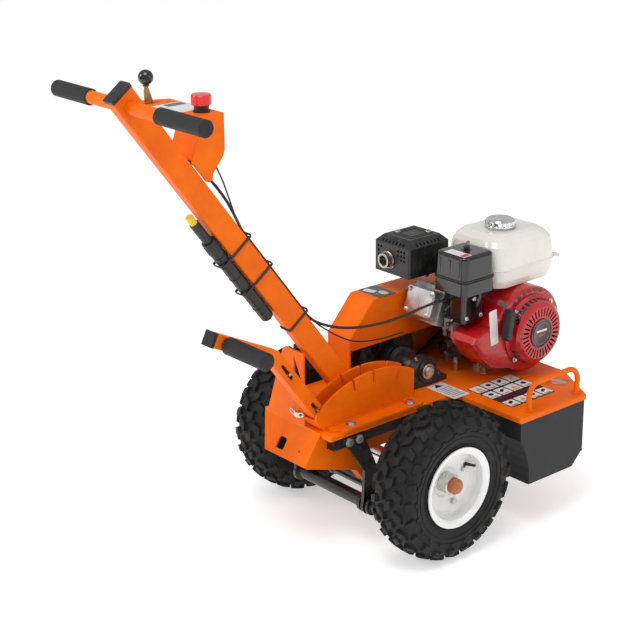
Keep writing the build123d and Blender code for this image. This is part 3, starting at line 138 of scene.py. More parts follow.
CUTTER = M("cutter_plate", (0.10, 0.10, 0.105), (0.26, 0.26, 0.27), 0.42, 0.15, metal=1, scale=22, bump=0.4, bscale=300, grime=(0.10, 0.06, 0.035), gscale=18)
TOOTH = M("tooth_steel", (0.06, 0.06, 0.065), (0.22, 0.22, 0.23), 0.38, 0.12, metal=1, scale=50, bump=0.5, bscale=420)
CAST = M("engine_cast", (0.33, 0.33, 0.33), (0.56, 0.56, 0.55), 0.46, 0.12, metal=0.85, scale=26, bump=0.9, bscale=650, dist=0.0006, grime=(0.12, 0.115, 0.11), gscale=24, gpos=0.60)
CASTL = M("cover_cast", (0.56, 0.56, 0.56), (0.74, 0.74, 0.73), 0.34, 0.1, metal=0.9, scale=22, bump=0.5, bscale=700, dist=0.0004)
RED = M("engine_red", (0.42, 0.004, 0.008), (0.55, 0.008, 0.013), 0.26, 0.06, coat=0.4, scale=18, bump=0.25, bscale=260, grime=(0.30, 0.004, 0.006), gscale=12)
IVORY = M("tank_ivory_m", (0.76, 0.74, 0.68), (0.83, 0.81, 0.76), 0.22, 0.05, coat=0.5, scale=10, bump=0.15, bscale=180, grime=(0.66, 0.62, 0.54), gscale=8, gpos=0.68)
CHROME = M("chrome_cap", (0.62, 0.62, 0.61), (0.82, 0.82, 0.82), 0.15, 0.07, metal=1, scale=45, bump=0.1, bscale=500, grime=(0.35, 0.34, 0.32), gscale=30)
HEAT = M("heat_steel", (0.36, 0.33, 0.29), (0.66, 0.64, 0.60), 0.34, 0.1, metal=1, scale=24, bump=0.3, bscale=500, grime=(0.20, 0.14, 0.09), gscale=16)
YELLOW = M("cap_yellow_m", (0.72, 0.50, 0.02), (0.85, 0.62, 0.03), 0.42, 0.1, scale=40, bump=0.3, bscale=900)
ESTOP = M("estop_red_m", (0.62, 0.006, 0.004), (0.75, 0.012, 0.008), 0.25, 0.06, coat=0.4, scale=30, bump=0.1, bscale=600)
JACKET = M("cable_jacket_m", (0.006, 0.006, 0.006), (0.018, 0.018, 0.018), 0.38, 0.1, scale=80, bump=0.25, bscale=1200)
BELT = M("belt_cloth", (0.012, 0.012, 0.013), (0.04, 0.04, 0.041), 0.75, 0.1, scale=160, bump=0.6, bscale=1800)


def with_rows(m, ink, size=(0.024, 0.0042), edge=0.55, vec=(1, 1, 1), rot=(0, 0, 0)):
    """Rows of plain bars over a material, such as the printing on a sticker."""
    nt = m.node_tree
    N, L = nt.nodes, nt.links
    bs = N["Principled BSDF"]
    old = bs.inputs["Base Color"].links[0].from_socket
    tc = N.new("ShaderNodeTexCoord")
    mp = N.new("ShaderNodeMapping")
    mp.inputs["Rotation"].default_value = rot
    mp.inputs["Scale"].default_value = vec
    L.new(tc.outputs["Object"], mp.inputs["Vector"])
    br = N.new("ShaderNodeTexBrick")
    br.inputs["Scale"].default_value = 1.0
    br.inputs["Brick Width"].default_value = size[0]
    br.inputs["Row Height"].default_value = size[1]
    br.inputs["Mortar Size"].default_value = size[1] * edge / 2
    br.inputs["Color1"].default_value = (0, 0, 0, 1)
    br.inputs["Color2"].default_value = (0.35, 0.35, 0.35, 1)
    br.inputs["Mortar"].default_value = (1, 1, 1, 1)
    L.new(mp.outputs["Vector"], br.inputs["Vector"])
    mx = N.new("ShaderNodeMixRGB")
    mx.inputs[1].default_value = (*ink, 1)
    L.new(br.outputs["Color"], mx.inputs[0])
    L.new(old, mx.inputs[2])
    L.new(mx.outputs[0], bs.inputs["Base Color"])
    return m


STICK_W = with_rows(M("sticker_white", (0.74, 0.74, 0.73), (0.80, 0.80, 0.79), 0.30, 0.05, coat=0.3, bevel=0), (0.12, 0.12, 0.12))
STICK_P = M("sticker_plain", (0.68, 0.68, 0.67), (0.78, 0.78, 0.77), 0.32, 0.06, coat=0.3, bevel=0)
# black print on stickers; also used as painted shade inside louvres and slots
INK_BLACK_AND_HOLE_SHADE = M("sticker_black_and_painted_hole_shade", (0.012, 0.012, 0.012), (0.022, 0.022, 0.022), 0.28, 0.05, coat=0.3, bevel=0)
STICK_D = M("sticker_deep_orange", (0.50, 0.08, 0.01), (0.58, 0.10, 0.012), 0.34, 0.05, coat=0.2, bevel=0)
STICK_G = M("sticker_grey", (0.16, 0.16, 0.17), (0.24, 0.24, 0.25), 0.34, 0.05, coat=0.2, bevel=0)
STICK_O = M("sticker_amber", (0.80, 0.30, 0.01), (0.88, 0.36, 0.02), 0.32, 0.05, coat=0.3, bevel=0)
STICK_Y = M("sticker_sand", (0.62, 0.52, 0.22), (0.76, 0.66, 0.32), 0.32, 0.05, coat=0.3, bevel=0)
STICK_R = M("sticker_red", (0.55, 0.01, 0.01), (0.66, 0.02, 0.02), 0.32, 0.05, coat=0.3, bevel=0)

BLACKP = M("black_coat", (0.006, 0.006, 0.006), (0.016, 0.016, 0.016), 0.30, 0.08, coat=0.25, scale=20, bump=0.35, bscale=260, bevel=0.0014, grime=(0.05, 0.045, 0.04), gscale=12)

CADMAT = {
    BLACKP: "chassis_rails crank_arms",
    ORANGE: "deck_plate rear_panel quadrant_plates handle_beam handlebar console lift_lever lifting_handle belt_cover cutter_hangers",
    PLASTIC: "beam_end_cap estop_base manual_canister cable_straps starter_grip choke_lever",
    FOAM: "handlebar_grips lever_grip", SKIRT: "rubber_skirts", JACKET: "throttle_cable stop_wire", BELT: "drive_belt cutter_belt",
    TYRE: "tyre_right tyre_left", RIMW: "rim_right rim_left",
    ZINC: "pivot_shaft axle latch_rod fasteners jackshaft cutter_shaft crankshaft fuel_valve_lever",
    BRONZE: "throttle_lever", IRON: "jackshaft_pulleys cutter_sheave engine_pulley", BLOCKB: "bearing_housings",
    CUTTER: "cutter_wheel", TOOTH: "cutter_teeth", CAST: "engine_block carburettor", CASTL: "valve_cover",
    RED: "fan_housing recoil_cover", IVORY: "fuel_tank", SATINB: "muffler_guard", HEAT: "muffler",
    GLOSSB: "throttle_knob air_cleaner", YELLOW: "canister_cap", ESTOP: "estop_button", CHROME: "fuel_cap",
}


def hub_material(name, cy):
    m = M(name, (0.52, 0.51, 0.48), (0.75, 0.74, 0.71), 0.3, 0.1, metal=1, scale=70, bump=0.2, bscale=800, bevel=0.0007)
    nt = m.node_tree
    N, L = nt.nodes, nt.links
    bs = N["Principled BSDF"]
    old = bs.inputs["Base Color"].links[0].from_socket
    tc = N.new("ShaderNodeTexCoord")
    sp = N.new("ShaderNodeSeparateXYZ")
    L.new(tc.outputs["Object"], sp.inputs[0])
    cb = N.new("ShaderNodeCombineXYZ")
    L.new(sp.outputs["X"], cb.inputs["X"])
    L.new(sp.outputs["Z"], cb.inputs["Z"])
    vm = N.new("ShaderNodeVectorMath")
    vm.operation = "DISTANCE"
    vm.inputs[1].default_value = (X0 / 1000, 0, 0.17)
    L.new(cb.outputs[0], vm.inputs[0])
    cr = N.new("ShaderNodeMapRange")
    cr.inputs["From Min"].default_value = 0.017
    cr.inputs["From Max"].default_value = 0.0185
    L.new(vm.outputs["Value"], cr.inputs["Value"])
    mx = N.new("ShaderNodeMixRGB")
    mx.inputs[1].default_value = (0.42, 0.11, 0.02, 1)
    L.new(cr.outputs[0], mx.inputs[0])
    L.new(old, mx.inputs[2])
    L.new(mx.outputs[0], bs.inputs["Base Color"])
    L.new(cr.outputs[0], bs.inputs["Metallic"])
    return m


HUBM = hub_material("hub_finish", 0)
for m, names in CADMAT.items():
    for n in names.split():
        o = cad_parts[n]
        o.data.materials.clear()
        o.data.materials.append(m)
for n in ("hub_right", "hub_left"):
    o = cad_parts[n]
    o.data.materials.clear()
    o.data.materials.append(HUBM)

# ------------------------------------------------------------------ mesh tools
COL = bpy.context.scene.collection


def finish_mesh(bm, name, mat, body, bevel=0.0, seg=2, smooth=True, sub=0):
    bmesh.ops.recalc_face_normals(bm, faces=bm.faces)
    me = bpy.data.meshes.new(name)
    bm.to_mesh(me)
    bm.free()
    o = bpy.data.objects.new(name, me)
    COL.objects.link(o)
    me.materials.append(mat)
    if smooth:
        for p in me.polygons:
            p.use_smooth = True
    if bevel:
        b = o.modifiers.new("edge", "BEVEL")
        b.width = bevel
        b.segments = seg
        b.limit_method = "ANGLE"
        b.angle_limit = math.radians(32)
        b.harden_normals = True
    if sub:
        s = o.modifiers.new("sub", "SUBSURF")
        s.levels = s.render_levels = sub
    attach(o, body)
    return o


def prism(name, pts, pl, a, b, mat, body, bevel=0.0008, seg=2):
    """A plate whose outline lies in a plane (design mm): 'x' (y,z), 'y' (x,z), 'z' (x,y)."""
    bm = bmesh.new()

    def q(p, h):
        return {"x": P(h, p[0], p[1]), "y": P(p[0], h, p[1]), "z": P(p[0], p[1], h)}[pl]
    lo = [bm.verts.new(q(p, a)) for p in pts]
    hi = [bm.verts.new(q(p, b)) for p in pts]
    bm.faces.new(lo)
    bm.faces.new(hi[::-1])
    n = len(pts)
    for i in range(n):
        bm.faces.new((lo[i], lo[(i + 1) % n], hi[(i + 1) % n], hi[i]))
    return finish_mesh(bm, name, mat, body, bevel, seg, smooth=bool(bevel))


def rrect(cx, cy, w, h, r, n=5, rot=0.0):
    out = []
    for (sx, sy, a0) in ((1, 1, 0), (-1, 1, 90), (-1, -1, 180), (1, -1, 270)):
        for i in range(n + 1):
            a = math.radians(a0 + 90 * i / n)
            x, y = sx * (w / 2 - r) + r * math.cos(a), sy * (h / 2 - r) + r * math.sin(a)
            c, s = math.cos(math.radians(rot)), math.sin(math.radians(rot))
            out.append((cx + x * c - y * s, cy + x * s + y * c))
    return out


def basis(d):
    d = Vector(d).normalized()
    u = d.orthogonal().normalized()
    return u, d.cross(u), d


def lathe(name, prof, org, d, mat, body, n=40, bevel=0.0, closed=True):
    """prof: (radius, height) in mm about an axis from org (design mm) along d."""
    u, v, d = basis(d)
    bm = bmesh.new()
    rings = []
    for (r, h) in prof:
        c = P(*org) + d * (h / 1000.0)
        if r <= 1e-6:
            rings.append([bm.verts.new(c)])
        else:
            rings.append([bm.verts.new(c + (u * math.cos(2 * math.pi * i / n) + v * math.sin(2 * math.pi * i / n)) * (r / 1000.0)) for i in range(n)])
    m = len(rings)
    for k in range(m if closed else m - 1):
        A, B = rings[k], rings[(k + 1) % m]
        if len(A) == 1 and len(B) == 1:
            continue
        for i in range(n):
            j = (i + 1) % n
            if len(A) == 1:
                bm.faces.new((A[0], B[i], B[j]))
            elif len(B) == 1:
                bm.faces.new((A[i], B[0], A[j]))
            else:
                bm.faces.new((A[i], B[i], B[j], A[j]))
    return finish_mesh(bm, name, mat, body, bevel or 0.0006)


def bolt(name, org, d, r, h, body, mat=None, washer=True, flange=False):
    """Hexagon head with a domed chamfer, on a washer."""
    u, v, d = basis(d)
    bm = bmesh.new()

    def ring(rad, hh, k, ph=0.0):
        c = P(*org) + d * (hh / 1000)
        return [bm.verts.new(c + (u * math.cos(2 * math.pi * i / k + ph) + v * math.sin(2 * math.pi * i / k + ph)) * rad / 1000) for i in range(k)]

    def solid(rings):
        bm.faces.new(rings[0][::-1])
        bm.faces.new(rings[-1])
        for A, B in zip(rings, rings[1:]):
            for i in range(len(A)):
                j = (i + 1) % len(A)
                bm.faces.new((A[i], A[j], B[j], B[i]))
    z0 = 0.0
    if washer:
        solid([ring(r * 1.45, 0, 24), ring(r * 1.55, 0.4, 24), ring(r * 1.5, 1.5, 24)])
        z0 = 1.4
    solid([ring(r * 1.0, z0, 6), ring(r * 1.0, z0 + h * 0.82, 6), ring(r * 0.86, z0 + h, 6)])
    return finish_mesh(bm, name, mat or ZINC, body, 0.0004)


def tube(name, pts, r, mat, body, raw=False, cyc=False, res=6):
    cu = bpy.data.curves.new(name, "CURVE")
    cu.dimensions = "3D"
    sp = cu.splines.new("NURBS")
    sp.points.add(len(pts) - 1)
    for q, p in zip(sp.points, pts):
        q.co = (*(p if raw else P(*p)), 1)
    sp.order_u = 3
    sp.use_endpoint_u = not cyc
    sp.use_cyclic_u = cyc
    sp.resolution_u = 8
    cu.bevel_depth = r / 1000
    cu.bevel_resolution = res
    cu.use_fill_caps = True
    cu.materials.append(mat)
    o = bpy.data.objects.new(name, cu)
    COL.objects.link(o)
    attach(o, body)
    return o


def weld(name, a, b, r, body, n=None):
    """A bead of overlapping ripples along a line."""
    A, B = P(*a), P(*b)
    L = (B - A).length * 1000
    k = max(4, int(L / 3.2))
    u, v, d = basis(B - A)
    bm = bmesh.new()
    rings = []
    m = 8
    for i in range(k * 2 + 1):
        t = i / (k * 2)
        rr = r * (1.0 if i % 2 else 0.80) * (0.93 + 0.14 * rnd.random())
        if i in (0, k * 2):
            rr *= 0.4
        c = A + (B - A) * t
        rings.append([bm.verts.new(c + (u * math.cos(2 * math.pi * j / m) + v * math.sin(2 * math.pi * j / m)) * rr / 1000) for j in range(m)])
    bm.faces.new(rings[0][::-1])
    bm.faces.new(rings[-1])
    for R, S in zip(rings, rings[1:]):
        for j in range(m):
            bm.faces.new((R[j], R[(j + 1) % m], S[(j + 1) % m], S[j]))
    return finish_mesh(bm, name, ORANGE_WELD, body)


# ------------------------------------------------------------------ tyres
CARC = [(0, 161.0), (12, 160.8), (26, 159.2), (38, 155.5), (46, 149.0), (51.0, 140), (52.5, 128), (52, 116), (49.5, 104), (46.5, 94), (45.2, 84), (44.6, 77.4)]
SEG = [0.0]
for (a, b) in zip(CARC, CARC[1:]):
    SEG.append(SEG[-1] + math.dist(a, b))


def carc(s):
    """Point and outward normal of the casing s mm from the crown."""
    s = min(max(s, 0), SEG[-1] - 1e-6)
    k = max(i for i in range(len(CARC) - 1) if SEG[i] <= s)
    t = (s - SEG[k]) / (SEG[k + 1] - SEG[k])
    a, b = CARC[k], CARC[k + 1]

    def tangent(i):
        j0, j1 = max(0, i - 1), min(len(CARC) - 1, i + 1)
        if i == 0:
            return (1.0, 0.0)
        q = (CARC[j1][0] - CARC[j0][0], CARC[j1][1] - CARC[j0][1])
        z = math.hypot(*q)
        return (q[0] / z, q[1] / z)
    ta, tb = tangent(k), tangent(k + 1)
    tx, ty = ta[0] * (1 - t) + tb[0] * t, ta[1] * (1 - t) + tb[1] * t
    z = math.hypot(tx, ty)
    return (a[0] + (b[0] - a[0]) * t, a[1] + (b[1] - a[1]) * t), (-ty / z, tx / z)


def tyre(name, side, body, node):
    bm = bmesh.new()
    wy = side * 229.0

    def at(w, r, th):
        return P(r * math.sin(th), wy + w, 170 + r * math.cos(th))
    prof = [(w, r) for (w, r) in CARC] + [(34, 77.4), (36, 92), (40, 116), (36, 140), (20, 150), (0, 152)]
    full = prof + [(-w, r) for (w, r) in prof[::-1]][1:-1]
    n = 96
    rings = [[bm.verts.new(at(w, r, 2 * math.pi * i / n)) for i in range(n)] for (w, r) in full]
    for k in range(len(full)):
        A, B = rings[k], rings[(k + 1) % len(full)]
        for i in range(n):
            bm.faces.new((A[i], A[(i + 1) % n], B[(i + 1) % n], B[i]))

    def lug(s0, s1, th, dth, h, skew, sg, taper=0.80, crown=0.0):
        """A tapered block on the casing between s0 and s1, about angle th."""
        na, nb = 4, 3
        base, top = [], []
        for (store, hh, q) in ((base, -2.0, 1.0), (top, h, taper)):
            for i in range(na + 1):
                row = []
                for j in range(nb + 1):
                    a, b = i / na * 2 - 1, j / nb * 2 - 1
                    s = (s0 + s1) / 2 + a * (s1 - s0) / 2 * q
                    (w, r), (nw, nr) = carc(max(s, 0))
                    t = th + (b * dth / 2 * q) + skew * a * (s1 - s0) / 2 / 160.0
                    row.append(bm.verts.new(at(sg * (w + nw * hh), r + nr * hh, t)))
                store.append(row)
        for i in range(na):
            for j in range(nb):
                bm.faces.new((top[i][j], top[i + 1][j], top[i + 1][j + 1], top[i][j + 1]))
                bm.faces.new((base[i][j], base[i][j + 1], base[i + 1][j + 1], base[i + 1][j]))
        for i in range(na):
            bm.faces.new((base[i][0], base[i + 1][0], top[i + 1][0], top[i][0]))
            bm.faces.new((base[i][nb], top[i][nb], top[i + 1][nb], base[i + 1][nb]))
        for j in range(nb):
            bm.faces.new((base[0][j], top[0][j], top[0][j + 1], base[0][j + 1]))
            bm.faces.new((base[na][j], base[na][j + 1], top[na][j + 1], top[na][j]))
    NL = 22
    pitch = 2 * math.pi / NL
    for sg in (1, -1):
        for i in range(NL):
            t0 = i * pitch + (pitch / 2 if sg < 0 else 0)
            lug(1.5, 19.5, t0, pitch * 0.50, 8.4, 0.55, sg)
            lug(23.5, 41.5, t0 + pitch * 0.50, pitch * 0.46, 8.2, -0.45, sg)
            if i % 2:
                lug(45.0, 66.0, t0 + pitch * 0.05, pitch * 0.50, 6.6, 0.3, sg, 0.74)
            else:
                lug(45.0, 61.0, t0 + pitch * 0.05, pitch * 0.56, 6.6, 0.3, sg, 0.74)
            lug(69.5, 78.0, t0 + pitch * 0.05, pitch * 0.34, 2.6, 0.0, sg, 0.7)
    o = finish_mesh(bm, name, TYRE, body, smooth=False)
    for p in o.data.polygons:
        p.use_smooth = p.index < len(full) * n
    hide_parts(node)
    for sg in (1, -1):
        for (rr, ww, rad, tag) in ((94.5, 47.6, 1.6, "bead"), (112.0, 51.6, 0.9, "line_a"), (122.5, 52.9, 0.9, "line_b")):
            pts = [at(sg * ww, rr, 2 * math.pi * i / 48) for i in range(48)]
            tube(f"{name}_{tag}_{'out' if sg * side > 0 else 'in'}", pts, rad, TYRE, body, raw=True, cyc=True, res=2)


tyre("tread_tyre_right", -1, "wheel_right", "tyre_right")
tyre("tread_tyre_left", 1, "wheel_left", "tyre_left")
for sg, body in ((-1, "wheel_right"), (1, "wheel_left")):
    a = math.radians(62)
    q = (58 * math.sin(a), sg * 251, 170 + 58 * math.cos(a))
    lathe("valve_stem_" + body, [(0, 0), (5.6, 0), (5.6, 2), (3.6, 5), (3.3, 17), (2.5, 18), (2.5, 20), (3.1, 20.6), (3.1, 27), (2.2, 28.4), (0, 28.4)],
          (q[0], sg * 243, q[2]), (0.16, sg * 1.0, 0.12), PLASTIC, body, 20)

# ------------------------------------------------------------------ weld beads
weld("weld_beam_front", (-1, -10.5, 277.6), (-1, 20.5, 277.6), 2.4, "frame")
weld("weld_beam_right", (4, -10.8, 278.0), (-55, -10.8, 278.0), 2.2, "frame")
weld("weld_console_right", (-418, -12.2, 848), (-456, -12.2, 890), 1.8, "frame")
weld("weld_bar_low", (-571, -11.5, 1011), (-597, -11.5, 1015), 2.0, "frame")

# ------------------------------------------------------------------ console top and controls
# pale sheet on the console top: painted reflection of light on the top plate
prism("console_top_painted_reflection", [(-431, 40), (-383, 40), (-383, 124), (-466, 124), (-466, 112), (-438, 42)], "z", 975.1, 975.5, STICK_P, "frame", 0.0002, 1)
prism("console_top_band", [(-427, 98), (-386, 98), (-386, 118), (-427, 118)], "z", 975.5, 975.8, INK_BLACK_AND_HOLE_SHADE, "frame", 0.0001, 1)
for k in range(3):
    a = math.radians(120 * k + 20)
    pass
lathe("lever_pivot_nut", [(0, 0), (8.5, 0), (8.5, 1.4), (6.5, 1.6), (6.2, 6), (4.5, 6.8), (0, 6.8)], (-434, 147.8, 954), (0, -1, 0), ZINC, "frame", 6)

# ------------------------------------------------------------------ canister bands
BD = Vector((-0.602, 0, 0.7985))
BN = Vector((-0.7985, 0, -0.602))


def beam(s, off, y):
    return (-61.0 + BD.x * s + BN.x * off, y, 365.0 + BD.z * s + BN.z * off)


for (s, r, tag) in ((300, 13.5, "a"), (392, 13.5, "b"), (446, 13.5, "c")):
    lathe("canister_band_" + tag, [(r, 0), (r + 0.9, 0.6), (r + 0.9, 3.0), (r, 3.6)], beam(s, 64.6, 5), BD, PLASTIC, "frame", 40)
for i in range(14):
    a = 2 * math.pi * i / 14
    u, v, d = basis(BD)
    c = Vector(beam(482, 64.6, 5)) + (u * math.cos(a) + v * math.sin(a)) * 14.2
    lathe(f"canister_grip_{i:02d}", [(0, -12), (0.9, -12), (1.1, 0), (0.9, 12), (0, 12)], tuple(c), BD, PLASTIC, "frame", 8)

# ------------------------------------------------------------------ pillow block faces
for (y, s) in ((-18.2, -1), (100.2, 1)):
    lathe("bearing_seal_" + ("near" if s < 0 else "far"), [(12.8, 0), (27.5, 0), (27.5, 2.0), (25.5, 3.4), (22.5, 2.2), (18.4, 1.4), (12.8, 1.4)],
          (156, y, 313), (0, s, 0), BLOCKB, "frame", 48)
    lathe("bearing_ring_" + ("near" if s < 0 else "far"), [(12.8, 1.5), (17.6, 1.5), (17.6, 6.0), (16.8, 6.8), (12.8, 6.8)], (156, y, 313), (0, s, 0), COPPER, "frame", 48)
lathe("grease_nipple", [(0, 0), (3.2, 0), (3.2, 3), (2.0, 3.6), (2.0, 6.6), (2.8, 7.4), (1.6, 9.6), (0, 9.8)], (137, -6, 338.6), (-0.5, 0, 0.85), BRASS, "frame", 16)

# ------------------------------------------------------------------ deck and cover stickers
prism("deck_sticker_main", rrect(277, -162, 138, 138, 4), "z", 277.1, 277.5, INK_BLACK_AND_HOLE_SHADE, "frame", 0.0001, 1)
for r in range(3):
    for c in range(4):
        w, h = (30, 34)
        cx, cy = 225 + 34.6 * c, -112 - 41 * r
        if r == 2:
            cy, h = -212, 30
        prism(f"deck_sticker_cell_{r}_{c}", rrect(cx, cy, w, h, 2), "z", 277.5, 277.75, STICK_P, "frame", 0.0001, 1)
        kind = (r * 4 + c) % 3
        if kind == 0:
            prism(f"deck_sticker_sign_{r}_{c}", [(cx - 9, cy - 7), (cx + 9, cy - 7), (cx, cy + 9)], "z", 277.75, 278.0, STICK_O, "frame", 0.0001, 1)
        elif kind == 1:
            prism(f"deck_sticker_dot_{r}_{c}", rrect(cx, cy + 3, 13, 13, 6.4, 6), "z", 277.75, 278.0, INK_BLACK_AND_HOLE_SHADE, "frame", 0.0001, 1)
        else:
            prism(f"deck_sticker_box_{r}_{c}", rrect(cx, cy + 3, 16, 8, 1.5, 3, 35), "z", 277.75, 278.0, INK_BLACK_AND_HOLE_SHADE, "frame", 0.0001, 1)
        for q in range(2):
            prism(f"deck_sticker_line_{r}_{c}_{q}", rrect(cx - 2 + 2 * q, cy - 11 - 3 * q, 20 - 5 * q, 1.3, 0.6, 2), "z", 277.75, 277.95, INK_BLACK_AND_HOLE_SHADE, "frame", 0.00005, 1)
prism("deck_sticker_side", rrect(392, -196, 46, 40, 3, 4, -62), "z", 277.1, 277.45, STICK_D, "frame", 0.0001, 1)
for q in range(4):
    prism(f"deck_sticker_side_line_{q}", rrect(388 + 3 * q, -206 + 7 * q, 34 - 4 * q, 1.8, 0.8, 3, -30), "z", 277.45, 277.7, STICK_P, "frame", 0.0001, 1)
prism("deck_sticker_rear", rrect(172, -70, 48, 90, 3), "z", 277.1, 277.5, STICK_P, "frame", 0.0001, 1)
prism("deck_sticker_rear_sign", [(160, -44), (184, -44), (172, -28)], "z", 277.5, 277.8, INK_BLACK_AND_HOLE_SHADE, "frame", 0.0001, 1)
for q in range(7):
    prism(f"deck_sticker_rear_line_{q}", rrect(171 + (q % 2) * 2, -56 - 8 * q, 38 - 4 * (q % 3), 2.4, 1.0, 3), "z", 277.5, 277.75, STICK_G, "frame", 0.0001, 1)
prism("cover_sticker", rrect(136, 124, 52, 74, 4), "z", 468.1, 468.5, INK_BLACK_AND_HOLE_SHADE, "frame", 0.0001, 1)
prism("cover_sticker_panel", rrect(140, 108, 18, 26, 8), "z", 468.5, 468.8, STICK_Y, "frame", 0.0001, 1)
prism("cover_sticker_core", rrect(126, 138, 18, 30, 5, 4, 15), "z", 468.5, 468.8, STICK_P, "frame", 0.0001, 1)
for i in range(3):
    prism(f"cover_sticker_bar_{i}", rrect(124 + 10 * i, 122, 3, 30 - 6 * i, 1.2, 3), "z", 468.5, 468.75, STICK_G, "frame", 0.0001, 1)

# ------------------------------------------------------------------ engine: head, plug, lead, linkage
CYL = (-math.cos(math.radians(20)), math.sin(math.radians(20)))


def cyl(a, b, y):
    return (382 + CYL[0] * a + CYL[1] * b, y, 383 + CYL[1] * a - CYL[0] * b)


CD = Vector((CYL[0], 0, CYL[1]))
for i, (b, y) in enumerate(((-24, 6), (24, 6), (-24, 70), (24, 70))):
    bolt(f"valve_cover_bolt_{i}", cyl(213.5, b, y), CD, 4.6, 4.5, "frame", washer=True)
prism("head_gasket", [cyl(163.5, b, 0)[0::2] for b in (-42.4, 42.4)] + [cyl(166.0, b, 0)[0::2] for b in (42.4, -42.4)], "y", -8.6, 84.6, IRON, "frame", 0.0002, 1)
plug = cyl(176, 41.5, 22)
PD = Vector((0.20, -0.25, 0.94))
lathe("spark_plug", [(0, 0), (8.5, 0), (8.5, 6), (5.4, 7), (5.2, 16), (0, 16)], plug, PD, ZINC, "frame", 24)
lathe("plug_boot", [(6.6, 12), (7.6, 13), (7.8, 26), (6.4, 31), (5.2, 36), (0, 37), (0, 12)], plug, PD, PLASTIC, "frame", 24)
pt = Vector(plug) + PD.normalized() * 35
tube("plug_lead", [tuple(pt), tuple(pt + PD * 8), (252, 17, 530), (278, 20, 527), (300, 24, 500), (306, 26, 474)], 3.6, JACKET, "frame")
tube("governor_rod", [(216, -12.5, 432), (236, -12.5, 446), (262, -12.5, 461), (292, -12.5, 476), (306, -12.5, 480)], 1.5, ZINC, "frame")
tube("choke_rod", [(206, -41, 424), (222, -43.5, 436), (238, -40, 462), (252, -38.5, 486)], 1.4, ZINC, "frame")
sp = []
for i in range(120):
    t = i / 119
    a = t * 2 * math.pi * 14
    u, v, d = basis((88, 0, 44))
    c = Vector((212, -16.5, 441)) + Vector((78, 0, 40)) * t
    sp.append(tuple(c + (u * math.cos(a) + v * math.sin(a)) * 2.6))
tube("governor_spring", sp, 0.55, ZINC, "frame", res=3)
prism("carb_bowl_clip", rrect(230, -27, 30, 30, 6), "z", 395.6, 398.2, BRASS, "frame", 0.0004)
lathe("carb_bowl", [(0, 0), (9, 0), (12.2, 2), (13.4, 5), (13.4, 17), (14.6, 17.6), (14.6, 19.4), (0, 19.4)], (230, -27, 378), (0, 0, 1), BRASS, "frame", 40)
bolt("carb_bowl_nut", (230, -27, 378), (0, 0, -1), 4.6, 4, "frame", BRASS, washer=False)
for i, (x, y, z) in enumerate(((218, -77.1, 436), (262, -77.1, 436), (240, -77.1, 478))):
    lathe(f"elbow_screw_{i}", [(0, 0), (6.0, 0), (6.0, 1.2), (4.6, 3.0), (2.2, 3.8), (1.6, 2.6), (0, 2.6)], (x, y, z), (0, -1, 0), ZINC, "frame", 24)
lathe("oil_plug", [(0, 0), (12.5, 0), (12.5, 3), (9, 4), (8.5, 9), (4, 11), (0, 11)], (285.8, 60, 318), (-1, 0, 0), GLOSSB, "frame", 24)
for i, (x, y) in enumerate(((300, -55), (452, -70))):
    lathe(f"base_spacer_{i}", [(0, 0), (8, 0), (8, 5), (5.4, 6), (5.4, 14), (0, 14)], (x, y, 277.2), (0, 0, 1), BRASS if i == 0 else ZINC, "frame", 24)

# air cleaner: seam, cover lip, sticker, ribs
ac = rrect(243, -43, 98.0, 98.0, 13, 6)
tube("air_cleaner_seam", [(x, y, 527) for (x, y) in ac], 1.5, PLASTIC, "frame", cyc=True, res=3)
tube("air_cleaner_lip", [(x, y, 522.5) for (x, y) in rrect(243, -43, 98.6, 98.6, 13, 6)], 1.1, GLOSSB, "frame", cyc=True, res=3)
prism("air_cleaner_sticker", rrect(213, -52, 26, 62, 3), "z", 582.05, 582.4, STICK_P, "frame", 0.0001, 1)
prism("air_cleaner_sticker_red", rrect(213, -74, 22, 12, 2), "z", 582.4, 582.7, STICK_R, "frame", 0.0001, 1)
lathe("air_cleaner_dimple", [(6.4, 0), (13, 0), (12, 1.4), (9, 2.0), (6.4, 1.2)], (250, -42, 582), (0, 0, 1), GLOSSB, "frame", 40)
for i in range(3):
    prism(f"air_cleaner_rib_{i}", rrect(-72 + 29 * i, 552, 7, 34, 2, 4), "x", 194.2, 196.2, GLOSSB, "frame", 0.0007)

# muffler guard: screws, outlet flange, side louvres
for i, (x, y) in enumerate(((206, 132), (258, 88))):
    bolt(f"guard_screw_{i}", (x, y, 592.1), (0, 0, 1), 4.4, 4.0, "frame")
lathe("outlet_flange", [(17.2, 0), (19.5, 0), (20.6, 1.5), (20.6, 4), (18.4, 5.4), (17.2, 5.2)], (163, 116, 540), (-1, 0, 0), HEAT, "frame", 48)
lathe("outlet_pipe", [(12.6, -6), (12.4, 9), (13.2, 14), (14.6, 14.6), (14.2, 9), (14.4, -6)], (160, 116, 540), (-1, 0, 0), HEAT, "frame", 48)
for i in range(3):
    a = math.radians(90 + 120 * i)
    bolt(f"outlet_screw_{i}", (158.6, 116 + 16.4 * math.cos(a), 540 + 16.4 * math.sin(a)), (-1, 0, 0), 2.4, 2.2, "frame", washer=False)
# side louvres drawn as thin black plates: painted shade in the openings
for i in range(6):
    prism(f"guard_slot_{i}", rrect(188 + 14 * i, 548, 5, 26, 2.4, 4), "y", 46.6, 46.95, INK_BLACK_AND_HOLE_SHADE, "frame", 0.0001, 1)
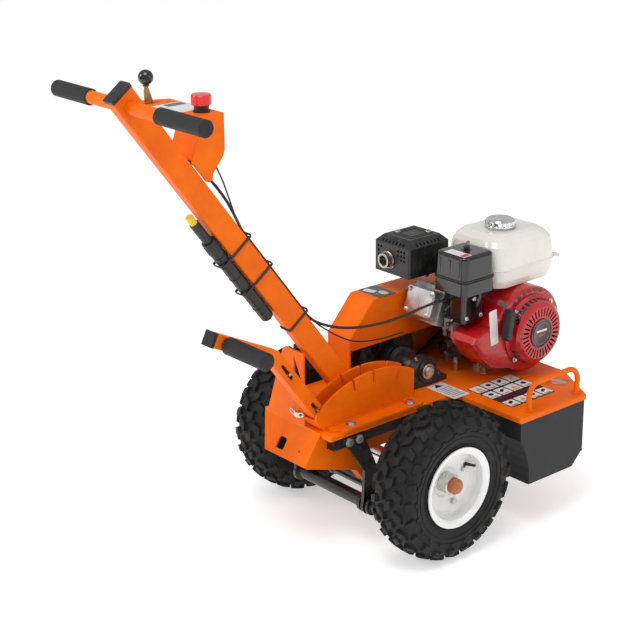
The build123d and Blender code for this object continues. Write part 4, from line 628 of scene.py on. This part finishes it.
# fan housing and recoil starter
def cone_slot(name, a0, a1, r0, y0, r1, y1, mat):
    """A slot on the turned side of the recoil cover, between angles a0 and a1, drawn as a thin dark shell: painted
    shade in the opening.
    """
    bm = bmesh.new()
    vs = []
    for dr in (0.15, 0.55):
        for (rr, yy) in ((r0, y0), (r1, y1)):
            for k in range(4):
                t = math.radians(a0 + (a1 - a0) * k / 3)
                vs.append(bm.verts.new(P(382 + (rr + dr) * math.cos(t), yy, 383 + (rr + dr) * math.sin(t))))
    for base in (0, 8):
        for k in range(3):
            bm.faces.new((vs[base + k], vs[base + k + 1], vs[base + k + 5], vs[base + k + 4]))
    for k in range(3):
        bm.faces.new((vs[k], vs[k + 1], vs[k + 9], vs[k + 8]))
        bm.faces.new((vs[k + 4], vs[k + 5], vs[k + 13], vs[k + 12]))
    bm.faces.new((vs[0], vs[4], vs[12], vs[8]))
    bm.faces.new((vs[3], vs[7], vs[15], vs[11]))
    return finish_mesh(bm, name, mat, "frame")


# recoil cover slots in black: painted shade in the openings
for i in range(9):
    a = 62 + 9.5 * i
    cone_slot(f"recoil_louvre_{i}", a, a + 5.5, 75.3, -127.5, 72.6, -139.5, INK_BLACK_AND_HOLE_SHADE)
for i in range(5):
    a = 205 + 9.5 * i
    cone_slot(f"recoil_louvre_low_{i}", a, a + 5.5, 75.3, -127.5, 72.6, -139.5, INK_BLACK_AND_HOLE_SHADE)
# fan housing louvres as thin black plates: painted shade in the vent openings
for i in range(6):
    a = math.radians(72 + 11 * i)
    prism(f"fan_louvre_{i}", rrect(382 + 91.5 * math.cos(a), 383 + 91.5 * math.sin(a), 8.5, 11, 2.0, 4, math.degrees(a)), "y", -118.5, -118.05, INK_BLACK_AND_HOLE_SHADE, "frame", 0.0001, 1)
prism("fan_label", rrect(262, 416, 24, 82, 3, 4, 6), "y", -118.55, -118.05, STICK_W, "frame", 0.0001, 1)
prism("fan_badge", rrect(286, 466, 30, 12, 3, 4, -30), "y", -118.55, -118.05, INK_BLACK_AND_HOLE_SHADE, "frame", 0.0001, 1)
lathe("recoil_disc", [(0, 0), (30, 0), (33, 1.0), (34, 2.6), (31.5, 3.0), (29.5, 1.9), (0, 1.9)], (382, -150.05, 383), (0, -1, 0), GLOSSB, "frame", 64)
lathe("recoil_disc_ring", [(24.4, 0), (26.4, 0), (26.2, 0.6), (24.6, 0.6)], (382, -151.9, 383), (0, -1, 0), RED, "frame", 64)
prism("recoil_disc_bar_a", rrect(382, 389, 34, 5, 1.6, 3), "y", -152.4, -151.95, STICK_P, "frame", 0.0001, 1)
prism("recoil_disc_bar_b", rrect(382, 379, 22, 4, 1.4, 3), "y", -152.4, -151.95, STICK_R, "frame", 0.0001, 1)
lathe("recoil_backing", [(20, 0), (61, 0), (61, 1.5), (20, 1.5)], (382, -138.5, 383), (0, -1, 0), INK_BLACK_AND_HOLE_SHADE, "frame", 64)
for i in range(4):
    a = math.radians(45 + 90 * i)
    bolt(f"recoil_bolt_{i}", (382 + 79.5 * math.cos(a), -124.1, 383 + 79.5 * math.sin(a)), (0, -1, 0), 4.2, 4.0, "frame")

# tank: seam flange, tab, cap details
tube("tank_seam", [(x, y, 527) for (x, y) in rrect(398, -8, 203, 171, 38, 8)], 2.2, IVORY, "frame", cyc=True, res=4)
prism("tank_tab", [(496, -96), (505, -88), (507, -76), (501, -70), (490, -84)], "z", 524.5, 529.5, IVORY, "frame", 0.0006)
lathe("cap_crown", [(0, 0), (22, 0), (27, 1.2), (29.5, 0.2), (30.2, -1.4), (0, -1.4)], (383, -15, 620.6), (0, 0, 1), CHROME, "tank_cap", 64)
for i in range(20):
    a = 2 * math.pi * i / 20
    lathe(f"cap_flute_{i:02d}", [(0, 0), (1.5, 0.4), (1.8, 3), (1.5, 7.4), (0, 8)], (383 + 33.2 * math.cos(a), -15 + 33.2 * math.sin(a), 609.3), (0, 0, 1), CHROME, "tank_cap", 10)
lathe("filler_neck", [(24, 0), (28.5, 0), (28.5, 3), (27, 4.2), (24, 4.2)], (383, -15, 599.6), (0, 0, 1), IVORY, "frame", 48)

# guard top ridges
for k, rr in enumerate(((226, 104, 70, 62), (226, 104, 52, 44))):
    tube(f"guard_ridge_{k}", [(x, y, 592.0) for (x, y) in rrect(rr[0], rr[1], rr[2], rr[3], 8, 5)], 1.3, SATINB, "frame", cyc=True, res=3)

# ------------------------------------------------------------------ floor, light, camera
bm = bmesh.new()
bmesh.ops.create_grid(bm, x_segments=1, y_segments=1, size=14)
fl = bpy.data.meshes.new("floor")
bm.to_mesh(fl)
bm.free()
floor = bpy.data.objects.new("floor", fl)
COL.objects.link(floor)
fm = bpy.data.materials.new("floor_white")
fm.use_nodes = True
fb = fm.node_tree.nodes["Principled BSDF"]
fb.inputs["Base Color"].default_value = (0.93, 0.93, 0.93, 1)
fb.inputs["Roughness"].default_value = 0.9
fb.inputs["Specular IOR Level"].default_value = 0.1
fb.inputs["Emission Color"].default_value = (1.0, 1.0, 1.0, 1)
fb.inputs["Emission Strength"].default_value = 0.46
fl.materials.append(fm)

w = bpy.data.worlds.new("studio")
bpy.context.scene.world = w
w.use_nodes = True
bg = w.node_tree.nodes["Background"]
bg.inputs["Color"].default_value = (1.0, 1.0, 1.0, 1)
bg.inputs["Strength"].default_value = 0.56


def area(name, loc, to, size, power, size_y=None):
    li = bpy.data.lights.new(name, "AREA")
    li.energy = power
    li.shape = "RECTANGLE"
    li.size = size
    li.size_y = size_y or size
    o = bpy.data.objects.new(name, li)
    COL.objects.link(o)
    o.location = loc
    o.rotation_euler = (Vector(to) - Vector(loc)).to_track_quat("-Z", "Y").to_euler()
    return o


area("key_top", (-1.2, -0.7, 3.5), (0.1, 0, 0.4), 1.8, 44)
area("side_soft", (1.6, -3.2, 1.9), (0.1, 0, 0.5), 1.6, 15)
area("rear_rim", (-2.6, 1.6, 2.2), (0.0, 0, 0.5), 1.2, 24)

bpy.context.scene.view_settings.view_transform = "Standard"
cam = bpy.data.cameras.new("camera")
cam.lens = 88.62
cam.sensor_width = 36
cam.clip_end = 50
co = bpy.data.objects.new("camera", cam)
COL.objects.link(co)
C = Vector((-2.05541, -2.35612, 1.60919))
F = (Vector((0.10823, 0.20995, 0.400)) - C).normalized()
R = F.cross(Vector((0, 0, 1))).normalized()
U = R.cross(F)
r = math.radians(-0.63)
R2, U2 = R * math.cos(r) + U * math.sin(r), -R * math.sin(r) + U * math.cos(r)
m = Matrix((R2, U2, -F)).transposed().to_4x4()
m.translation = C
co.matrix_world = m
bpy.context.scene.camera = co
